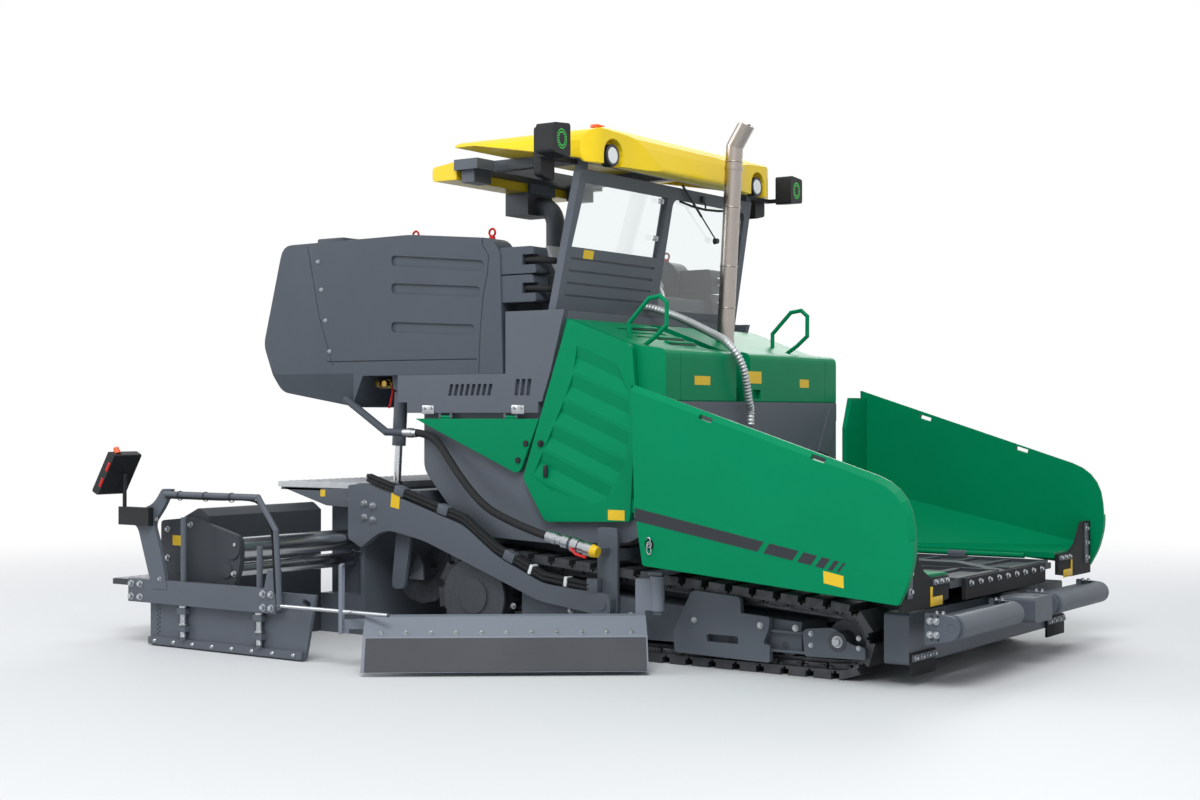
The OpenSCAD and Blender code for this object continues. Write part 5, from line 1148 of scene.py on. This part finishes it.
# %% [markdown]
# ## The spray bars
#
# Each bar swings on its hinge, so its bolts and rubber skirt are placed in the bar's own line and
# turned with it.

# %% Spray bar hardware
SPRAY_TURN = {side: Matrix.Rotation(math.radians(-36.87) * way, 4, "Z") for side, way in SIDES.items()}


def spray_spot(along_mm, across, z, side):
    """A point on a spray bar: along it from the hinge, across outwards, and up."""
    way = SIDES[side]
    turned = SPRAY_TURN[side].to_3x3() @ Vector((along_mm, way * across, 0))
    return spot(50 + turned.x, way * 1402 + turned.y, z)


for side, way in SIDES.items():
    heads, skirt = bmesh.new(), bmesh.new()
    outward = SPRAY_TURN[side].to_3x3() @ Vector((0, way * 0.55, 0.84))
    for k in range(11):
        add_bolt(heads, spray_spot(-180 - k * 155, 222, 250, side), outward, 0.020)
    piece(f"spray_bolts_{side}", heads, zinc_bolt, f"spray_bar_{side}")
    corners = ((-90, 258, 219), (-1820, 258, 219), (-1820, 378, 30), (-90, 378, 30))
    add_film(skirt, [spray_spot(*c, side) + outward * 0.0006 for c in corners], outward * 0.003)
    piece(f"spray_skirt_{side}", skirt, skirt_rubber, f"spray_bar_{side}")

# %% [markdown]
# ## The studio
#
# The machine stands on a pale floor in an even white room. The floor fades to white around it, but
# only where it is seen, straight, in a reflection or through glass: Light Path tells those rays from
# soft light, so the white adds no light to the paint and the shadow stays.

# %% The floor
FLOOR_SPAN = 120
FADE_FROM, FADE_TO = 5.0, 12.0


def straight_rays(tree):
    """1 for what the camera sees by itself, in a reflection or through glass, and 0 for soft light."""
    rays = add(tree, "LightPath")
    direct, glossy, through = (rays.outputs[f"Is {kind} Ray"] for kind in ("Camera", "Glossy", "Transmission"))
    seen = add(tree, "Math", {0: direct, 1: glossy}, operation="MAXIMUM")
    return add(tree, "Math", {0: seen.outputs[0], 1: through}, operation="MAXIMUM").outputs[0]


shape = bmesh.new()
bmesh.ops.create_grid(shape, x_segments=1, y_segments=1, size=FLOOR_SPAN / 2)
floor_mesh = bpy.data.meshes.new("floor")
shape.to_mesh(floor_mesh)
shape.free()
floor = bpy.data.objects.new("floor", floor_mesh)
bpy.context.scene.collection.objects.link(floor)
# Painted concrete: pale and satin, with no pattern that would draw the eye
pale_floor, tree, shader, place = new_finish("pale_floor")
shader.inputs["Base Color"].default_value = linear("#DADCDE")
shader.inputs["Roughness"].default_value = 0.6
shader.inputs["Specular IOR Level"].default_value = 0.2
away = add(tree, "VectorMath", {0: place}, operation="LENGTH")
fade = add(tree, "MapRange", {0: away.outputs["Value"], 1: FADE_FROM, 2: FADE_TO}, interpolation_type="SMOOTHSTEP")
mask = add(tree, "Math", {0: fade.outputs[0], 1: straight_rays(tree)}, operation="MULTIPLY")
glow = add(tree, "Emission", {"Color": (1, 1, 1, 1), "Strength": 1.0})
floor_mix = add(tree, "MixShader", {0: mask.outputs[0], 1: shader.outputs[0], 2: glow.outputs[0]})
tree.links.new(floor_mix.outputs[0], tree.nodes["Material Output"].inputs["Surface"])
floor_mesh.materials.append(pale_floor)
print("floor:", FLOOR_SPAN, "m wide")

# %% [markdown]
# ## The lamps and the room
#
# A large soft lamp above the camera shapes the machine, a weaker one fills from its rear right and
# a third lights it from the far side. The world is a pale room that fills the shadows, and white where
# it is seen.

# %% Lamps and world
def soft_lamp(name, place, aim, size, power):
    """A square area lamp at a place, pointed at another."""
    lamp = bpy.data.lights.new(name, "AREA")
    lamp.size = size
    lamp.energy = power
    holder = bpy.data.objects.new(name, lamp)
    holder.location = place
    holder.rotation_euler = (Vector(aim) - Vector(place)).to_track_quat("-Z", "Y").to_euler()
    bpy.context.scene.collection.objects.link(holder)
    print(f"{name}: {power} W")


soft_lamp("key_lamp", (5, -9, 11), (0, 0, 1), 7, 1250)
soft_lamp("fill_lamp", (-11, -8, 7), (0, 0, 1), 7, 560)
soft_lamp("back_lamp", (-4, 11, 9), (0, 0, 1.5), 8, 700)

world = bpy.data.worlds.new("studio")
world.use_nodes = True
bpy.context.scene.world = world
tree = world.node_tree
room = tree.nodes["Background"]
room.inputs["Color"].default_value = linear("#F4F6F9")
room.inputs["Strength"].default_value = 0.55
white = add(tree, "Background", {"Color": (1, 1, 1, 1), "Strength": 1.0})
both = add(tree, "MixShader", {0: straight_rays(tree), 1: room.outputs[0], 2: white.outputs[0]})
tree.links.new(both.outputs[0], tree.nodes["World Output"].inputs["Surface"])
